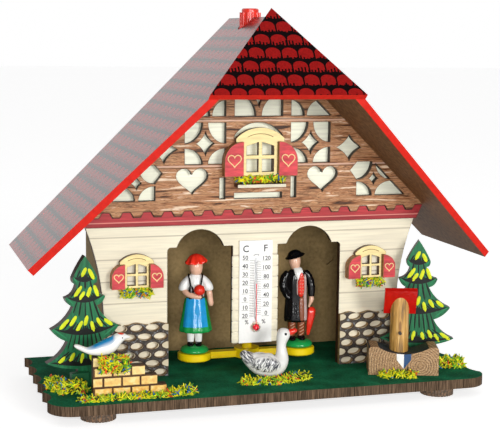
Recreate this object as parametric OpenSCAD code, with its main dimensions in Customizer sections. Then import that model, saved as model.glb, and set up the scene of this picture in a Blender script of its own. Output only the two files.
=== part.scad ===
// Weather house: a small wooden chalet whose two figures ride a turning beam that hangs on a gut string.
// X runs along the front, Y from front to back with zero on the front wall's face, Z up from the floor.

/* [Base board] */
// Width of the base board from tip to tip
base_w = 185; // [176:1:220]
// Reach of the base board in front of the front wall's face
base_front = 38.5; // [34:0.5:60]
// Thickness of the base board
base_t = 4; // [2:0.5:10]
// Radius of the rounded front corners
base_corner_r = 10; // [4:0.5:14]
// Number of scallops along each side edge
scallop_n = 5; // [3:1:9]
// Depth of a scallop
scallop_depth = 2.5; // [1:0.1:3]
// Diameter of a foot
foot_d = 14; // [8:0.5:20]
// Height of a foot
foot_h = 4; // [2:0.5:12]
// Distance from the base board's edges to the foot centres
foot_inset = 20; // [11:0.5:24]

/* [Walls] */
// Width of the house at its foot
house_w = 130; // [124:1:136]
// Width of the front wall under the eaves
eave_w = 145; // [138:1:152]
// Depth of the house from the front face to the back face
house_depth = 43; // [38:0.5:60]
// Thickness of the wall boards
wall_t = 3; // [2:0.25:4.5]
// Height of the red band's lower edge above the base board
eave_h = 63.4; // [62:0.2:66]
// Height of the stone plinth
plinth_h = 23; // [16:0.5:30]
// Thickness of the stone plinth
plinth_t = 2.2; // [1:0.1:3]
// Rows of stones in the plinth
stone_rows = 6; // [4:1:7]
// Stones in each row
stone_cols = 4; // [3:1:5]
// Width of a doorway
door_w = 28.3; // [26:0.1:30]
// Height of a doorway up to its shoulders
door_h = 53.8; // [50:0.2:54]
// Width of the round arch over a doorway
arch_w = 20.4; // [16:0.2:22]
// Rise of the arch above the shoulders
arch_rise = 7.4; // [5:0.1:8]
// Width of the pier between the doorways
pier_w = 19.8; // [18:0.1:22]
// Height of the pier's lower end above the base board
pier_lift = 11.6; // [10:0.1:14]

/* [Roof] */
// Height of the ridge above the base board
ridge_h = 149.1; // [147:0.2:156]
// Slope of the two main roof boards
roof_pitch = 45; // [44:0.5:46]
// Thickness of the roof boards
roof_t = 3; // [2:0.25:4]
// Distance from the middle to the eaves
eave_reach = 98.5; // [95:0.5:110]
// Reach of the eaves' front corners before the front wall
eave_front = 21.4; // [16:0.2:28]
// Half the width of the hip board at its lower edge
hip_half_w = 32; // [27:0.5:34]
// Reach of the hip board's lower edge before the front wall
hip_low_reach = 41.1; // [38:0.2:46]
// Reach of the hip board's top before the front wall
hip_top_reach = 16.8; // [14:0.2:20]

/* [Gable] */
// Thickness of the fretwork
fret_t = 3; // [2:0.25:4]
// Width of the fretwork's frame along the roof slopes
slope_rail = 3.1; // [2.5:0.1:4]
// Height of the red band below the fretwork
band_h = 6.2; // [5:0.1:7]
// Thickness of the red band
band_t = 2.5; // [1.5:0.1:3.5]
// Distance between the teeth under the fretwork
tooth_pitch = 8.6; // [7:0.1:11]
// Height of a tooth
tooth_h = 2.2; // [1:0.1:3]
// Height of the solid board below the cut-outs
sole_h = 4.4; // [3:0.1:5]
// Height of the lower row of cut-outs
low_row_h = 14.6; // [13.5:0.1:15]
// Height of the middle row of cut-outs
mid_row_h = 17.2; // [16:0.1:18]
// Height of the rail between the middle and the upper row
rail_h = 2.6; // [2:0.1:4]
// Side of the square panel under the ridge
peak_w = 21; // [19:0.1:22]

/* [Windows] */
// Width of the gable window's frame
gable_frame_w = 15; // [13:0.1:16]
// Height of the gable window's frame below its arch
gable_frame_h = 15.5; // [14:0.1:16]
// Width of a side window's frame
side_frame_w = 10.2; // [9:0.1:11]
// Height of a side window's frame below its arch
side_frame_h = 11; // [10:0.1:12]
// Thickness of a window frame
frame_t = 2.5; // [1.5:0.1:3.5]
// Thickness of a shutter
shutter_t = 4.5; // [2:0.1:6]
// Height of the side windows' sills above the base board
side_sill_h = 38; // [35:0.2:40]

/* [Thermometer] */
// Width of the scale plate
plate_w = 14.5; // [10:0.1:17]
// Height of the scale plate
plate_h = 44; // [40:0.5:46]
// Thickness of the scale plate
plate_t = 1.2; // [0.8:0.1:2]
// Outer diameter of the glass tube
tube_d = 2; // [1.6:0.1:2.6]
// Outer diameter of the bulb
bulb_d = 3.8; // [3:0.1:4]
// Height of the bulb above the plate's lower edge
bulb_rise = 6.8; // [5:0.1:9]
// Length of the tube above the bulb
tube_len = 29; // [24:0.5:31]
// Length of the red column above the bulb
column_len = 18.8; // [4:0.2:22]

/* [Weather beam] */
// Distance from the turning axis to each figure
beam_reach = 23.5; // [22.5:0.1:24]
// Diameter of the discs under the figures
disc_d = 14.6; // [13:0.1:15]
// Height of the discs
disc_h = 3.2; // [2:0.1:4]
// Gap between the beam and the base board
beam_lift = 3; // [1.5:0.1:4]
// Width of the beam's bar
bar_w = 4; // [3:0.1:5]
// Diameter of the hub
hub_d = 11; // [8:0.1:12]
// Diameter of the post
post_d = 4.3; // [3:0.1:5]
// Height of the post's top above the base board
post_top_h = 72; // [70:0.5:80]
// Diameter of the gut string
gut_d = 1; // [0.6:0.1:1.2]
// Diameter over the ribs of the adjusting knob
knob_d = 9.2; // [8:0.1:10]
// Height of the knob above the ridge
knob_rise = 3.7; // [2.5:0.1:6]
// Number of ribs round the knob
rib_n = 12; // [8:1:18]
// Diameter of the knob's shank
shank_d = 5.9; // [5:0.1:6.4]
// Height of a figure with its mound
figure_h = 42; // [38:0.5:43]

/* [Garden] */
// Height of a tree
tree_h = 52.5; // [46:0.5:54]
// Width of a tree at its lowest branches
tree_w = 32; // [26:0.5:33]
// Thickness of a tree
tree_t = 4; // [2.5:0.1:5]
// Length of the brick wall's lowest course
brick_len = 29.3; // [26:0.1:30]
// Height of a course of bricks
course_h = 4.1; // [3:0.1:5]
// Thickness of the brick wall
brick_t = 4; // [3:0.1:6]
// Length of the well's trough
trough_len = 29.5; // [26:0.1:31]
// Depth of the trough from front to back
trough_d = 12; // [11.4:0.1:14]
// Height of the trough
trough_h = 12; // [9:0.1:15]
// Diameter of the well's post
well_post_d = 8; // [6:0.1:8.4]
// Height of the post above the trough's dip
well_post_h = 23.6; // [18:0.1:26]
// Width of the well's red roof board
well_roof_w = 13.6; // [11:0.1:16]

/* [Hidden] */
$fn = 64;

// Clearances
seat_gap = 0.3;        // soft tufts and loose ornaments to what carries them
string_gap = 0.35;     // round the string and the post where they pass another body
knob_gap = 0.05;       // radial running fit of the knob's shank
knob_hole_gap = 0.5;   // radial gap between the knob's ribs and the roof
figure_gap = 1.06;     // between the discs and the back of the front wall
glass_gap = 0.05;      // between the red column and its tube
joint_gap = 0.2;       // between two boards cut to match

// Heights
base_top = foot_h + base_t;
eave_z = base_top + eave_h;
fret_z = eave_z + band_h;
ridge_z = base_top + ridge_h;
ridge_under = ridge_z - roof_t / cos(roof_pitch);
function under_z(x) = ridge_under - abs(x) * tan(roof_pitch);
function under_x(z) = (ridge_under - z) / tan(roof_pitch);
function outer_z(x) = ridge_z - abs(x) * tan(roof_pitch);

// Plan of the house
base_half = base_w / 2;
door_x = pier_w / 2 + door_w / 2;
jamb_x = pier_w / 2 + door_w;
arch_r = (pow(arch_w / 2, 2) + pow(arch_rise, 2)) / (2 * arch_rise);
axis_y = wall_t + figure_gap + disc_d / 2;
back_inner_y = house_depth - wall_t;

// Roof: the hip board lies on a plane through its top and its lower edge
hip_pitch = atan2(hip_half_w * tan(roof_pitch), hip_low_reach - hip_top_reach);
hip_len = norm([hip_half_w * tan(roof_pitch), hip_low_reach - hip_top_reach]);
hip_point = 2;         // of the hip board past the ridge
roof_back = hip_low_reach + roof_t * sin(hip_pitch);

// Rows of the fretwork
low_row_z = fret_z + sole_h;
mid_row_z = low_row_z + low_row_h;
rail_z = mid_row_z + mid_row_h;
peak_row_z = rail_z + rail_h;

// Windows
side_win_x = (jamb_x + house_w / 2) / 2;
gable_sill_rise = 9.8;
gable_sill_z = low_row_z + gable_sill_rise;
side_sill_z = base_top + side_sill_h;
sill_h = 1.4;
sill_reach = 5.6;
sill_drop = 4.7;       // from the gable window's foot down to the sill's underside

// Thermometer
plate_rise = 0.2;
plate_z = base_top + pier_lift + plate_rise;
bulb_z = plate_z + bulb_rise;
tube_y = -plate_t - tube_d / 2 - glass_gap;
tube_bore_d = tube_d / 2;
bulb_wall = 0.4;

// Beam, string and knob
beam_z = base_top + beam_lift;
disc_top = beam_z + disc_h;
post_top = base_top + post_top_h;
guide_t = 4;
guide_drop = 3;
guide_z = post_top - guide_t - guide_drop;
knob_hole_r = knob_d / 2 + knob_hole_gap;
seat_land = 0.8;
knob_seat_z = ridge_under - (knob_hole_r + seat_land) * tan(roof_pitch);
block_h = 7;
cap_h = 1.7;
knob_top = ridge_z + knob_rise;
knot_rise = 4;
knot_z = knob_seat_z + knot_rise;
ferrule_h = 6;
figure_scale = figure_h / 42;

// Garden: places are insets from the base board's edges, turns are about Z
left_tree_turn = 6;
left_tree_inset = 18.3;
right_tree_turn = -18;
right_tree_inset = 21.5;
left_trunk_h = 0.7;     // of the trunk that the branches leave free
right_trunk_h = 2.4;
function before_plinth(turn) =
    -(plinth_t + seat_gap + tree_w / 2 * sin(abs(turn)) + tree_t / 2 * cos(turn));
left_tree_at = [-(base_half - left_tree_inset), before_plinth(left_tree_turn), left_tree_turn,
    left_trunk_h];
right_tree_at = [base_half - right_tree_inset, before_plinth(right_tree_turn), right_tree_turn,
    right_trunk_h];
brick_inset = [18, 9.5];
brick_x = -(base_half - brick_inset[0]);
brick_y = -(base_front - brick_inset[1]);
goose_x = 1;
goose_inset = 20.5;
goose_at = [goose_x, -(base_front - goose_inset)];
well_inset = [32.7, 17.8];
well_turn = -18;
well_at = [base_half - well_inset[0], -(base_front - well_inset[1]), well_turn];
dip_depth = 3;
dip_half_w = trough_len / 2 - 3.8;
dip_r = (pow(dip_half_w, 2) + pow(dip_depth, 2)) / (2 * dip_depth);
well_post_z = base_top + trough_h - dip_depth;
well_tilt = 60;
well_post_at = [-1.6, 1.4];    // from the trough's middle
well_hole_z = well_post_z + 8.5;
spout_d = 1.4;
tuft_h = 4;
low_tuft_h = 2;
socket_gap = 0.05;     // between the well's post and its socket, and between the spout and its hole
socket_h = 4;

// A board cut from a front view: the drawing's x and y become X and Z, its back lies at y_back
module board(y_back, t) {
    translate([0, y_back, 0])
        rotate([90, 0, 0])
            linear_extrude(t)
                children();
}

module mirrored_pair() {
    for (side = [0, 1])
        mirror([side, 0, 0])
            children();
}

// A rounded rod between two balls
module limb(p, r, q, s) {
    hull() {
        translate(p)
            sphere(r, $fn = 16);
        translate(q)
            sphere(s, $fn = 16);
    }
}

// Base board and feet

module base_outline() {
    scallop_pitch = (house_depth + base_front - base_corner_r) / scallop_n;
    scallop_r = (pow(scallop_pitch / 2, 2) + pow(scallop_depth, 2)) / (2 * scallop_depth);
    difference() {
        union() {
            translate([-base_half, -base_front + base_corner_r])
                square([base_w, house_depth + base_front - base_corner_r]);
            translate([-base_half + base_corner_r, -base_front])
                square([base_w - 2 * base_corner_r, base_corner_r + 1]);
            for (side = [-1, 1])
                translate([side * (base_half - base_corner_r), -base_front + base_corner_r])
                    circle(base_corner_r);
        }
        for (side = [-1, 1], i = [0 : scallop_n - 1])
            translate([side * (base_half + scallop_r - scallop_depth),
                    house_depth - (i + 0.5) * scallop_pitch])
                circle(scallop_r);
    }
}

module base_board() {
    color("darkgreen")
        translate([0, 0, foot_h])
            linear_extrude(base_t)
                base_outline();
}

module feet() {
    groove_n = 32;
    groove_r = 0.35;
    foot_ys = [-base_front + foot_inset / 2, house_depth - foot_inset / 2];
    color("saddlebrown")
        for (side = [-1, 1], y = foot_ys)
            translate([side * (base_half - foot_inset), y, 0])
                linear_extrude(foot_h)
                    difference() {
                        circle(d = foot_d);
                        for (i = [0 : groove_n - 1])
                            rotate(i * 360 / groove_n)
                                translate([foot_d / 2, 0])
                                    circle(groove_r, $fn = 6);
                    }
}

// Walls

module front_outline() {
    flare = (eave_w - house_w) / 2;
    flare_h = eave_h - plinth_h;
    flare_r = (pow(flare_h, 2) + pow(flare, 2)) / (2 * flare);
    difference() {
        polygon([[-eave_w / 2, base_top], [eave_w / 2, base_top], [eave_w / 2, under_z(eave_w / 2)],
            [0, under_z(0)], [-eave_w / 2, under_z(eave_w / 2)]]);
        for (side = [-1, 1]) {
            translate([side * (house_w / 2 + flare) - flare, base_top - 1])
                square([2 * flare, plinth_h + 1]);
            translate([side * (house_w / 2 + flare_r), base_top + plinth_h])
                circle(flare_r, $fn = 256);
        }
    }
}

// The outer shoulder of each doorway is rounded
module doorways() {
    corner_r = 1.5;
    for (side = [-1, 1])
        translate([side * door_x, base_top]) {
            translate([-door_w / 2, -1])
                square([door_w, door_h + 1 - corner_r]);
            translate([-door_w / 2 + (side < 0 ? corner_r : 0), -1])
                square([door_w - corner_r, door_h + 1]);
            translate([side * (door_w / 2 - corner_r), door_h - corner_r])
                circle(corner_r);
            translate([0, door_h + arch_rise - arch_r])
                circle(arch_r);
        }
    translate([-pier_w / 2 - 1, base_top - 1])
        square([pier_w + 2, pier_lift + 1]);
}

module front_wall() {
    color("wheat")
        board(wall_t, wall_t)
            difference() {
                front_outline();
                doorways();
            }
}

module side_wall() {
    outer = house_w / 2;
    inner = outer - wall_t;
    color("peru")
        board(back_inner_y, back_inner_y - wall_t)
            polygon([[inner, base_top], [outer, base_top], [outer, under_z(outer)],
                [inner, under_z(inner)]]);
}

module left_side_wall() {
    mirror([1, 0, 0])
        side_wall();
}

module right_side_wall() {
    side_wall();
}

module back_wall() {
    half = house_w / 2;
    slot = [4.2, 1.3];
    slot_deep = wall_t / 2;
    color("peru")
        difference() {
            board(house_depth, wall_t)
                polygon([[-half, base_top], [half, base_top], [half, under_z(half)], [0, under_z(0)],
                    [-half, under_z(half)]]);
            board(back_inner_y + slot_deep, 2 * slot_deep)
                translate([half - 16.5, side_sill_z])
                    rotate(36)
                        square(slot, center = true);
        }
}

// Stone plinth: a dark board with a hole for every stone, so that the pale wall shows through

function oval(w, h, n) = [for (i = [0 : n - 1]) [w / 2 * cos(360 * i / n), h / 2 * sin(360 * i / n)]];

module stone_holes(w) {
    row_h = plinth_h / stone_rows;
    col_w = w / stone_cols;
    for (i = [0 : stone_rows - 1], j = [0 : stone_cols - 1 - i % 2]) {
        wobble = sin(97 * i + 53 * j);
        translate([(j + 0.5 + (i % 2) / 2) * col_w, (i + 0.46) * row_h])
            rotate(6 * wobble)
                polygon(oval(col_w * (0.8 + 0.1 * wobble), row_h * (0.78 - 0.06 * wobble), 20));
    }
}

module plinth() {
    w = house_w / 2 - jamb_x;
    waves = 3;
    wave_h = 0.45;
    steps = 24;
    top = [for (i = [steps : -1 : 0])
        [w * i / steps, plinth_h - wave_h - wave_h * cos(360 * waves * i / steps)]];
    color("dimgray")
        translate([jamb_x, 0, base_top])
            board(0, plinth_t)
                difference() {
                    polygon(concat([[0, 0], [w, 0]], top));
                    stone_holes(w);
                }
}

module left_plinth() {
    mirror([1, 0, 0])
        plinth();
}

module right_plinth() {
    plinth();
}

// Roof

// Frame on the hip board's underside: x across, y up the slope, z outwards
module on_hip() {
    translate([0, -hip_low_reach, outer_z(hip_half_w)])
        rotate([hip_pitch, 0, 0])
            children();
}

module roof_side() {
    eave_z_out = outer_z(eave_reach);
    far = 2 * ridge_z;
    difference() {
        intersection() {
            board(roof_back, 2 * roof_back)
                polygon([[0, ridge_z], [eave_reach, eave_z_out],
                    [eave_reach - roof_t * sin(roof_pitch), eave_z_out - roof_t * cos(roof_pitch)],
                    [0, ridge_under]]);
            linear_extrude(far)
                polygon([[0, roof_back], [eave_reach, roof_back], [eave_reach, -eave_front],
                    [hip_half_w, -hip_low_reach], [0, -hip_low_reach]]);
        }
        on_hip()
            translate([-far / 2, -far / 2, 0])
                cube([far, far, far]);
        translate([0, axis_y, 0])
            cylinder(r = knob_hole_r, h = far);
    }
}

module left_roof() {
    color("firebrick")
        mirror([1, 0, 0])
            roof_side();
}

module right_roof() {
    color("firebrick")
        roof_side();
}

module hip_roof() {
    color("firebrick")
        on_hip()
            linear_extrude(roof_t)
                polygon([[-hip_half_w, 0], [hip_half_w, 0], [0, hip_len + hip_point]]);
}

// Block glued under the ridge: it carries the adjusting knob
module ridge_block() {
    top_half = under_x(knob_seat_z);
    foot_half = under_x(knob_seat_z - block_h / 2);
    color("burlywood")
        difference() {
            board(axis_y + knob_d, axis_y + knob_d - wall_t)
                polygon([[-top_half, knob_seat_z], [-foot_half, knob_seat_z - block_h / 2],
                    [-foot_half, knob_seat_z - block_h], [foot_half, knob_seat_z - block_h],
                    [foot_half, knob_seat_z - block_h / 2], [top_half, knob_seat_z]]);
            translate([0, axis_y, knob_seat_z - block_h - 1])
                cylinder(d = shank_d + 2 * knob_gap, h = block_h + 2);
        }
}

// Bracket behind the front wall that keeps the beam's post upright
module post_guide() {
    guide_w = 14;
    tail = 6;
    color("burlywood")
        difference() {
            translate([-guide_w / 2, wall_t, guide_z])
                cube([guide_w, axis_y + tail - wall_t, guide_t]);
            translate([0, axis_y, guide_z - 1])
                cylinder(d = post_d + 2 * string_gap, h = guide_t + 2);
        }
}

// Gable ornaments

module teeth(grow) {
    top_w = 5.4;
    tip_w = 2.8;
    n = floor((under_x(fret_z) - top_w) / tooth_pitch);
    for (i = [-n : n])
        translate([i * tooth_pitch, fret_z])
            polygon([[-top_w / 2 - grow, 0.01], [-tip_w / 2 - grow, -tooth_h - grow],
                [tip_w / 2 + grow, -tooth_h - grow], [top_w / 2 + grow, 0.01]]);
}

module eave_band() {
    color("crimson")
        board(0, band_t)
            difference() {
                polygon([[-eave_w / 2, eave_z], [eave_w / 2, eave_z],
                    [under_x(fret_z), fret_z - joint_gap], [-under_x(fret_z), fret_z - joint_gap]]);
                teeth(joint_gap);
            }
}

// A star of four hollow points, the upright ones thinner
function star(a, b) = [for (i = [0 : 31]) let (c = cos(360 * i / 32), s = sin(360 * i / 32))
    [a * sign(c) * pow(abs(c), 3.2), b * sign(s) * pow(abs(s), 2.4)]];

function heart(w, h) = [for (i = [0 : 35]) let (t = 10 * i)
    [w / 32 * 16 * pow(sin(t), 3), h / 29 * (13 * cos(t) - 5 * cos(2 * t) - 2 * cos(3 * t) - cos(4 * t))]];

// A quarter oval whose square corner points away from the panel's middle
module quarter(at, a, b, to_x, to_y) {
    translate(at)
        polygon(concat([[0, 0]], [for (t = [0 : 10 : 90]) [to_x * a * cos(t), to_y * b * sin(t)]]));
}

// Four quarter ovals round a star; b holds the heights of the upper and the lower ovals
module star_panel(w, h, a, b, star_w, star_h) {
    for (i = [-1, 1], j = [0, 1])
        quarter([i * w / 2, (0.5 - j) * h], a, b[j], -i, 2 * j - 1);
    polygon(star(star_w / 2, star_h / 2));
}

// Cut-outs of the right half
module fret_cuts() {
    panel_w = 17.6;
    panel_x = 22.9;
    panel_low = 6.6;
    panel_web = 2;
    corner_w = 15.6;
    corner_x = 51.8;
    corner_low = 6.1;
    corner_web = 0.8;
    corner_high = low_row_h - corner_low - corner_web;
    lone_star = [40.4, mid_row_z + 6.3];
    heart_at = [28.5, low_row_z + 8.4];
    slit_x = 14.3;
    slit = [2.5, 9];
    upper_w = 12.8;
    upper_x = 14.2;
    upper_h = 6.6;
    far = 40;
    translate([panel_x, mid_row_z + mid_row_h / 2])
        star_panel(panel_w, mid_row_h, 7.7, [mid_row_h - panel_low - panel_web, panel_low], 8, 11);
    translate(lone_star)
        polygon(star(5.9, 6.2));
    translate(heart_at)
        polygon(heart(13.8, 11.2));
    translate([slit_x, low_row_z])
        square(slit);
    translate([corner_x, low_row_z + low_row_h / 2])
        star_panel(corner_w, low_row_h, 7.1, [corner_high, corner_low], 4.4, 6.2);
    // the outer corner panel runs on to its pointed inner end and to the slope
    translate([corner_x - corner_w / 2, mid_row_z])
        polygon([[0.1, 0], [-3, -3.5], [0.1, -corner_high]]);
    translate([corner_x + corner_w / 2 - 0.1, low_row_z])
        square([far, corner_low]);
    // upper row beside the peak panel
    quarter([upper_x, peak_row_z], 5.9, upper_h, 1, 1);
    quarter([upper_x + upper_w, peak_row_z], 6, upper_h, -1, 1);
    translate([upper_x + upper_w - 0.1, peak_row_z])
        square([far, upper_h]);
}

module gable_fretwork() {
    rail_rise = slope_rail / cos(roof_pitch);
    opening_w = gable_frame_w - 2;
    arch_open_w = gable_frame_w + 6;
    arch_open_z = gable_sill_z + gable_frame_h - 1;
    slot = [21, 2.5];
    color("sienna")
        board(0, fret_t)
            difference() {
                union() {
                    polygon([[-under_x(fret_z), fret_z], [under_x(fret_z), fret_z], [0, under_z(0)]]);
                    teeth(0);
                }
                intersection() {
                    polygon([[-under_x(fret_z) + rail_rise, fret_z],
                        [under_x(fret_z) - rail_rise, fret_z], [0, under_z(0) - rail_rise]]);
                    union() {
                        mirrored_pair()
                            fret_cuts();
                        translate([0, peak_row_z + peak_w / 2])
                            star_panel(peak_w, peak_w, 9.3, [9.3, 9.3], 9.2, 15);
                        translate([-slot[0] / 2, low_row_z])
                            square(slot);
                        translate([-opening_w / 2, gable_sill_z])
                            square([opening_w, gable_frame_h]);
                        intersection() {
                            translate([-arch_open_w / 2, arch_open_z])
                                square([arch_open_w, rail_z - arch_open_z]);
                            translate([0, rail_z - arch_open_w * 0.62])
                                circle(arch_open_w * 0.62);
                        }
                    }
                }
            }
}

// Windows

// Frame with an arched lintel and four panes, its foot at the origin
module window_outline(w, h) {
    bar = w * 0.1;
    lintel_w = w * 1.4;
    lintel_rise = w * 0.3;
    lintel_r = (pow(lintel_w / 2, 2) + pow(lintel_rise, 2)) / (2 * lintel_rise);
    pane_w = (w - 3 * bar) / 2;
    pane_h = (h - 3 * bar) / 2;
    top_drop = pane_h * 0.3;
    difference() {
        union() {
            translate([-w / 2, 0])
                square([w, h]);
            intersection() {
                translate([-lintel_w / 2, h - bar])
                    square([lintel_w, lintel_rise + bar]);
                translate([0, h + lintel_rise - lintel_r])
                    circle(lintel_r);
            }
        }
        for (side = [0, 1])
            mirror([side, 0])
                translate([bar / 2, bar]) {
                    square([pane_w, pane_h]);
                    translate([0, pane_h + bar])
                        polygon([[0, 0], [pane_w, 0], [pane_w, pane_h - top_drop], [0, pane_h]]);
                }
    }
}

// A shutter with a round outer shoulder, its inner foot at the origin
module shutter_outline(w, h) {
    union() {
        square([w, h - w]);
        intersection() {
            translate([0, h - w - 0.1])
                square([w, w + 0.1]);
            translate([0, h - w])
                circle(w);
        }
    }
}

module window_at(x, z, y_back, w, h) {
    color("khaki")
        translate([x, 0, z])
            board(y_back, frame_t)
                window_outline(w, h);
}

module shutters_at(x, z, y_back, w, h) {
    color("indianred")
        translate([x, 0, z])
            board(y_back, shutter_t)
                mirrored_pair()
                    translate([w / 2 + joint_gap, 0])
                        shutter_outline(w * 0.54, h * 0.92);
}

// Lintel ends pass over the shutters' shoulders, so the shutters are cut below them
module shutters_under_lintel(x, z, y_back, w, h) {
    color("indianred")
        difference() {
            shutters_at(x, z, y_back, w, h);
            translate([x, 0, z])
                board(y_back + 1, frame_t + 1 + joint_gap)
                    translate([-w, h * 0.9 - joint_gap])
                        square([2 * w, h]);
        }
}

module gable_window() {
    window_at(0, gable_sill_z, -fret_t, gable_frame_w, gable_frame_h);
}

module gable_shutters() {
    shutters_under_lintel(0, gable_sill_z, -fret_t, gable_frame_w, gable_frame_h);
}

module left_window() {
    window_at(-side_win_x, side_sill_z, 0, side_frame_w, side_frame_h);
}

module right_window() {
    window_at(side_win_x, side_sill_z, 0, side_frame_w, side_frame_h);
}

module left_shutters() {
    shutters_under_lintel(-side_win_x, side_sill_z, 0, side_frame_w, side_frame_h);
}

module right_shutters() {
    shutters_under_lintel(side_win_x, side_sill_z, 0, side_frame_w, side_frame_h);
}

module gable_sill() {
    color("khaki")
        translate([-gable_frame_w * 0.7, -fret_t - sill_reach, gable_sill_z - sill_drop])
            cube([gable_frame_w * 1.4, sill_reach, sill_h]);
}

// A bunch of dried flowers that stands on its sill or hangs under its window
module flower_bunch(w, h, d) {
    hull() {
        translate([-w / 2, -d, h * 0.35])
            cube([w, d, h * 0.45]);
        translate([-w * 0.42, -d * 0.8, 0])
            cube([w * 0.84, d * 0.8, h]);
    }
}

module gable_flowers() {
    color("yellowgreen")
        translate([0, -fret_t - seat_gap, gable_sill_z - sill_drop + sill_h])
            flower_bunch(gable_frame_w * 1.3, sill_drop - sill_h - seat_gap, sill_reach - 1);
}

module side_flowers(x) {
    bunch = [side_frame_w * 1.2, 3.6, 3.6];
    color("yellowgreen")
        translate([x, -seat_gap, side_sill_z - bunch[1] - seat_gap])
            flower_bunch(bunch[0], bunch[1], bunch[2]);
}

module left_window_flowers() {
    side_flowers(-side_win_x);
}

module right_window_flowers() {
    side_flowers(side_win_x);
}

// Thermometer

module thermometer_plate() {
    color("white")
        difference() {
            translate([0, 0, plate_z])
                board(0, plate_t)
                    translate([-plate_w / 2, 0])
                        square([plate_w, plate_h]);
            translate([0, 1, bulb_z])
                rotate([90, 0, 0])
                    cylinder(d = bulb_d + 2 * seat_gap, h = plate_t + 2);
        }
}

module thermometer_tube() {
    color("gainsboro")
        translate([0, tube_y, bulb_z])
            difference() {
                union() {
                    sphere(d = bulb_d);
                    cylinder(d = tube_d, h = tube_len);
                }
                sphere(d = bulb_d - 2 * bulb_wall);
                cylinder(d = tube_bore_d, h = tube_len - 1);
            }
}

module thermometer_liquid() {
    color("red")
        translate([0, tube_y, bulb_z]) {
            sphere(d = bulb_d - 2 * bulb_wall - 2 * glass_gap);
            cylinder(d = tube_bore_d - 2 * glass_gap, h = column_len);
        }
}

// Weather beam with its figures

module on_axis() {
    translate([0, axis_y, 0])
        children();
}

module weather_beam() {
    edge = 0.5;
    groove = [0.8, 1];
    hub_h = disc_h + 0.8;
    color("gold")
        on_axis() {
            for (side = [-1, 1])
                translate([side * beam_reach, 0, beam_z])
                    rotate_extrude()
                        polygon([[0, 0], [disc_d / 2 - edge, 0], [disc_d / 2, edge],
                            [disc_d / 2, disc_h - edge], [disc_d / 2 - edge, disc_h], [0, disc_h]]);
            difference() {
                translate([-beam_reach, -bar_w / 2, beam_z + 0.2])
                    cube([2 * beam_reach, bar_w, disc_h - 0.4]);
                for (side = [-1, 1])
                    translate([-beam_reach, side * bar_w / 2 - groove[0] / 2, beam_z + disc_h * 0.35])
                        cube([2 * beam_reach, groove[0], groove[1]]);
            }
            translate([0, 0, beam_z])
                cylinder(d = hub_d, h = hub_h);
            translate([0, 0, beam_z])
                cylinder(d = post_d, h = post_top - beam_z);
        }
}

module figure_mound() {
    mound_r = 6.4;
    mound_h = 3.2;
    cap_r = (pow(mound_r, 2) + pow(mound_h, 2)) / (2 * mound_h);
    rotate_extrude()
        intersection() {
            square([mound_r, mound_h]);
            translate([0, mound_h - cap_r])
                circle(cap_r);
        }
}

// Stands a figure of 42 mm on a disc
module on_disc(side) {
    on_axis()
        translate([side * beam_reach, 0, disc_top])
            scale(figure_scale)
                children();
}

module woman_figure() {
    shoe_z = 2.9;
    hem_z = 8.2;
    waist_z = 23;
    shoulder_z = 31.2;
    head_z = 36;
    hat_z = 38.2;
    color("dodgerblue")
        on_disc(-1) {
            figure_mound();
            for (side = [-1, 1]) {
                translate([side * 1.75, 0, shoe_z - 1])
                    cylinder(r = 1.6, h = hem_z - shoe_z + 3);
                translate([side * 1.75, -1.2, shoe_z])
                    sphere(1.5);
            }
            rotate_extrude()
                polygon([[0, hem_z], [6.2, hem_z], [6.6, hem_z + 0.5], [5.6, hem_z + 6],
                    [4.3, hem_z + 11], [3.2, waist_z], [0, waist_z]]);
            limb([-1.5, 0, waist_z + 1.6], 2.8, [1.5, 0, waist_z + 1.6], 2.8);
            limb([-2.6, 0, shoulder_z - 2.4], 2.7, [2.6, 0, shoulder_z - 2.4], 2.7);
            limb([-4.6, 0, shoulder_z - 2], 2.1, [-5.2, -0.6, shoulder_z - 5.4], 2.1);
            limb([4.6, 0, shoulder_z - 2], 2.1, [5.2, -0.2, shoulder_z - 5.4], 2.1);
            limb([-5.4, -1.2, shoulder_z - 7.4], 1.3, [1, -3.8, shoulder_z - 9], 1.3);
            limb([5.5, -0.4, shoulder_z - 7.4], 1.3, [6.4, -0.8, shoulder_z - 13.4], 1.4);
            translate([0.9, -4.4, shoulder_z - 6.4])
                sphere(2.1);
            cylinder(r = 1.3, h = head_z);
            translate([0, 0, head_z])
                sphere(3);
            translate([0, 0, hat_z])
                rotate_extrude()
                    polygon([[0, -1], [4.5, -1], [4.8, -0.4], [4.3, 0.5], [2.9, 1.3], [2.3, 2.8],
                        [1.2, 3.6], [0, 3.8]]);
        }
}

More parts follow.
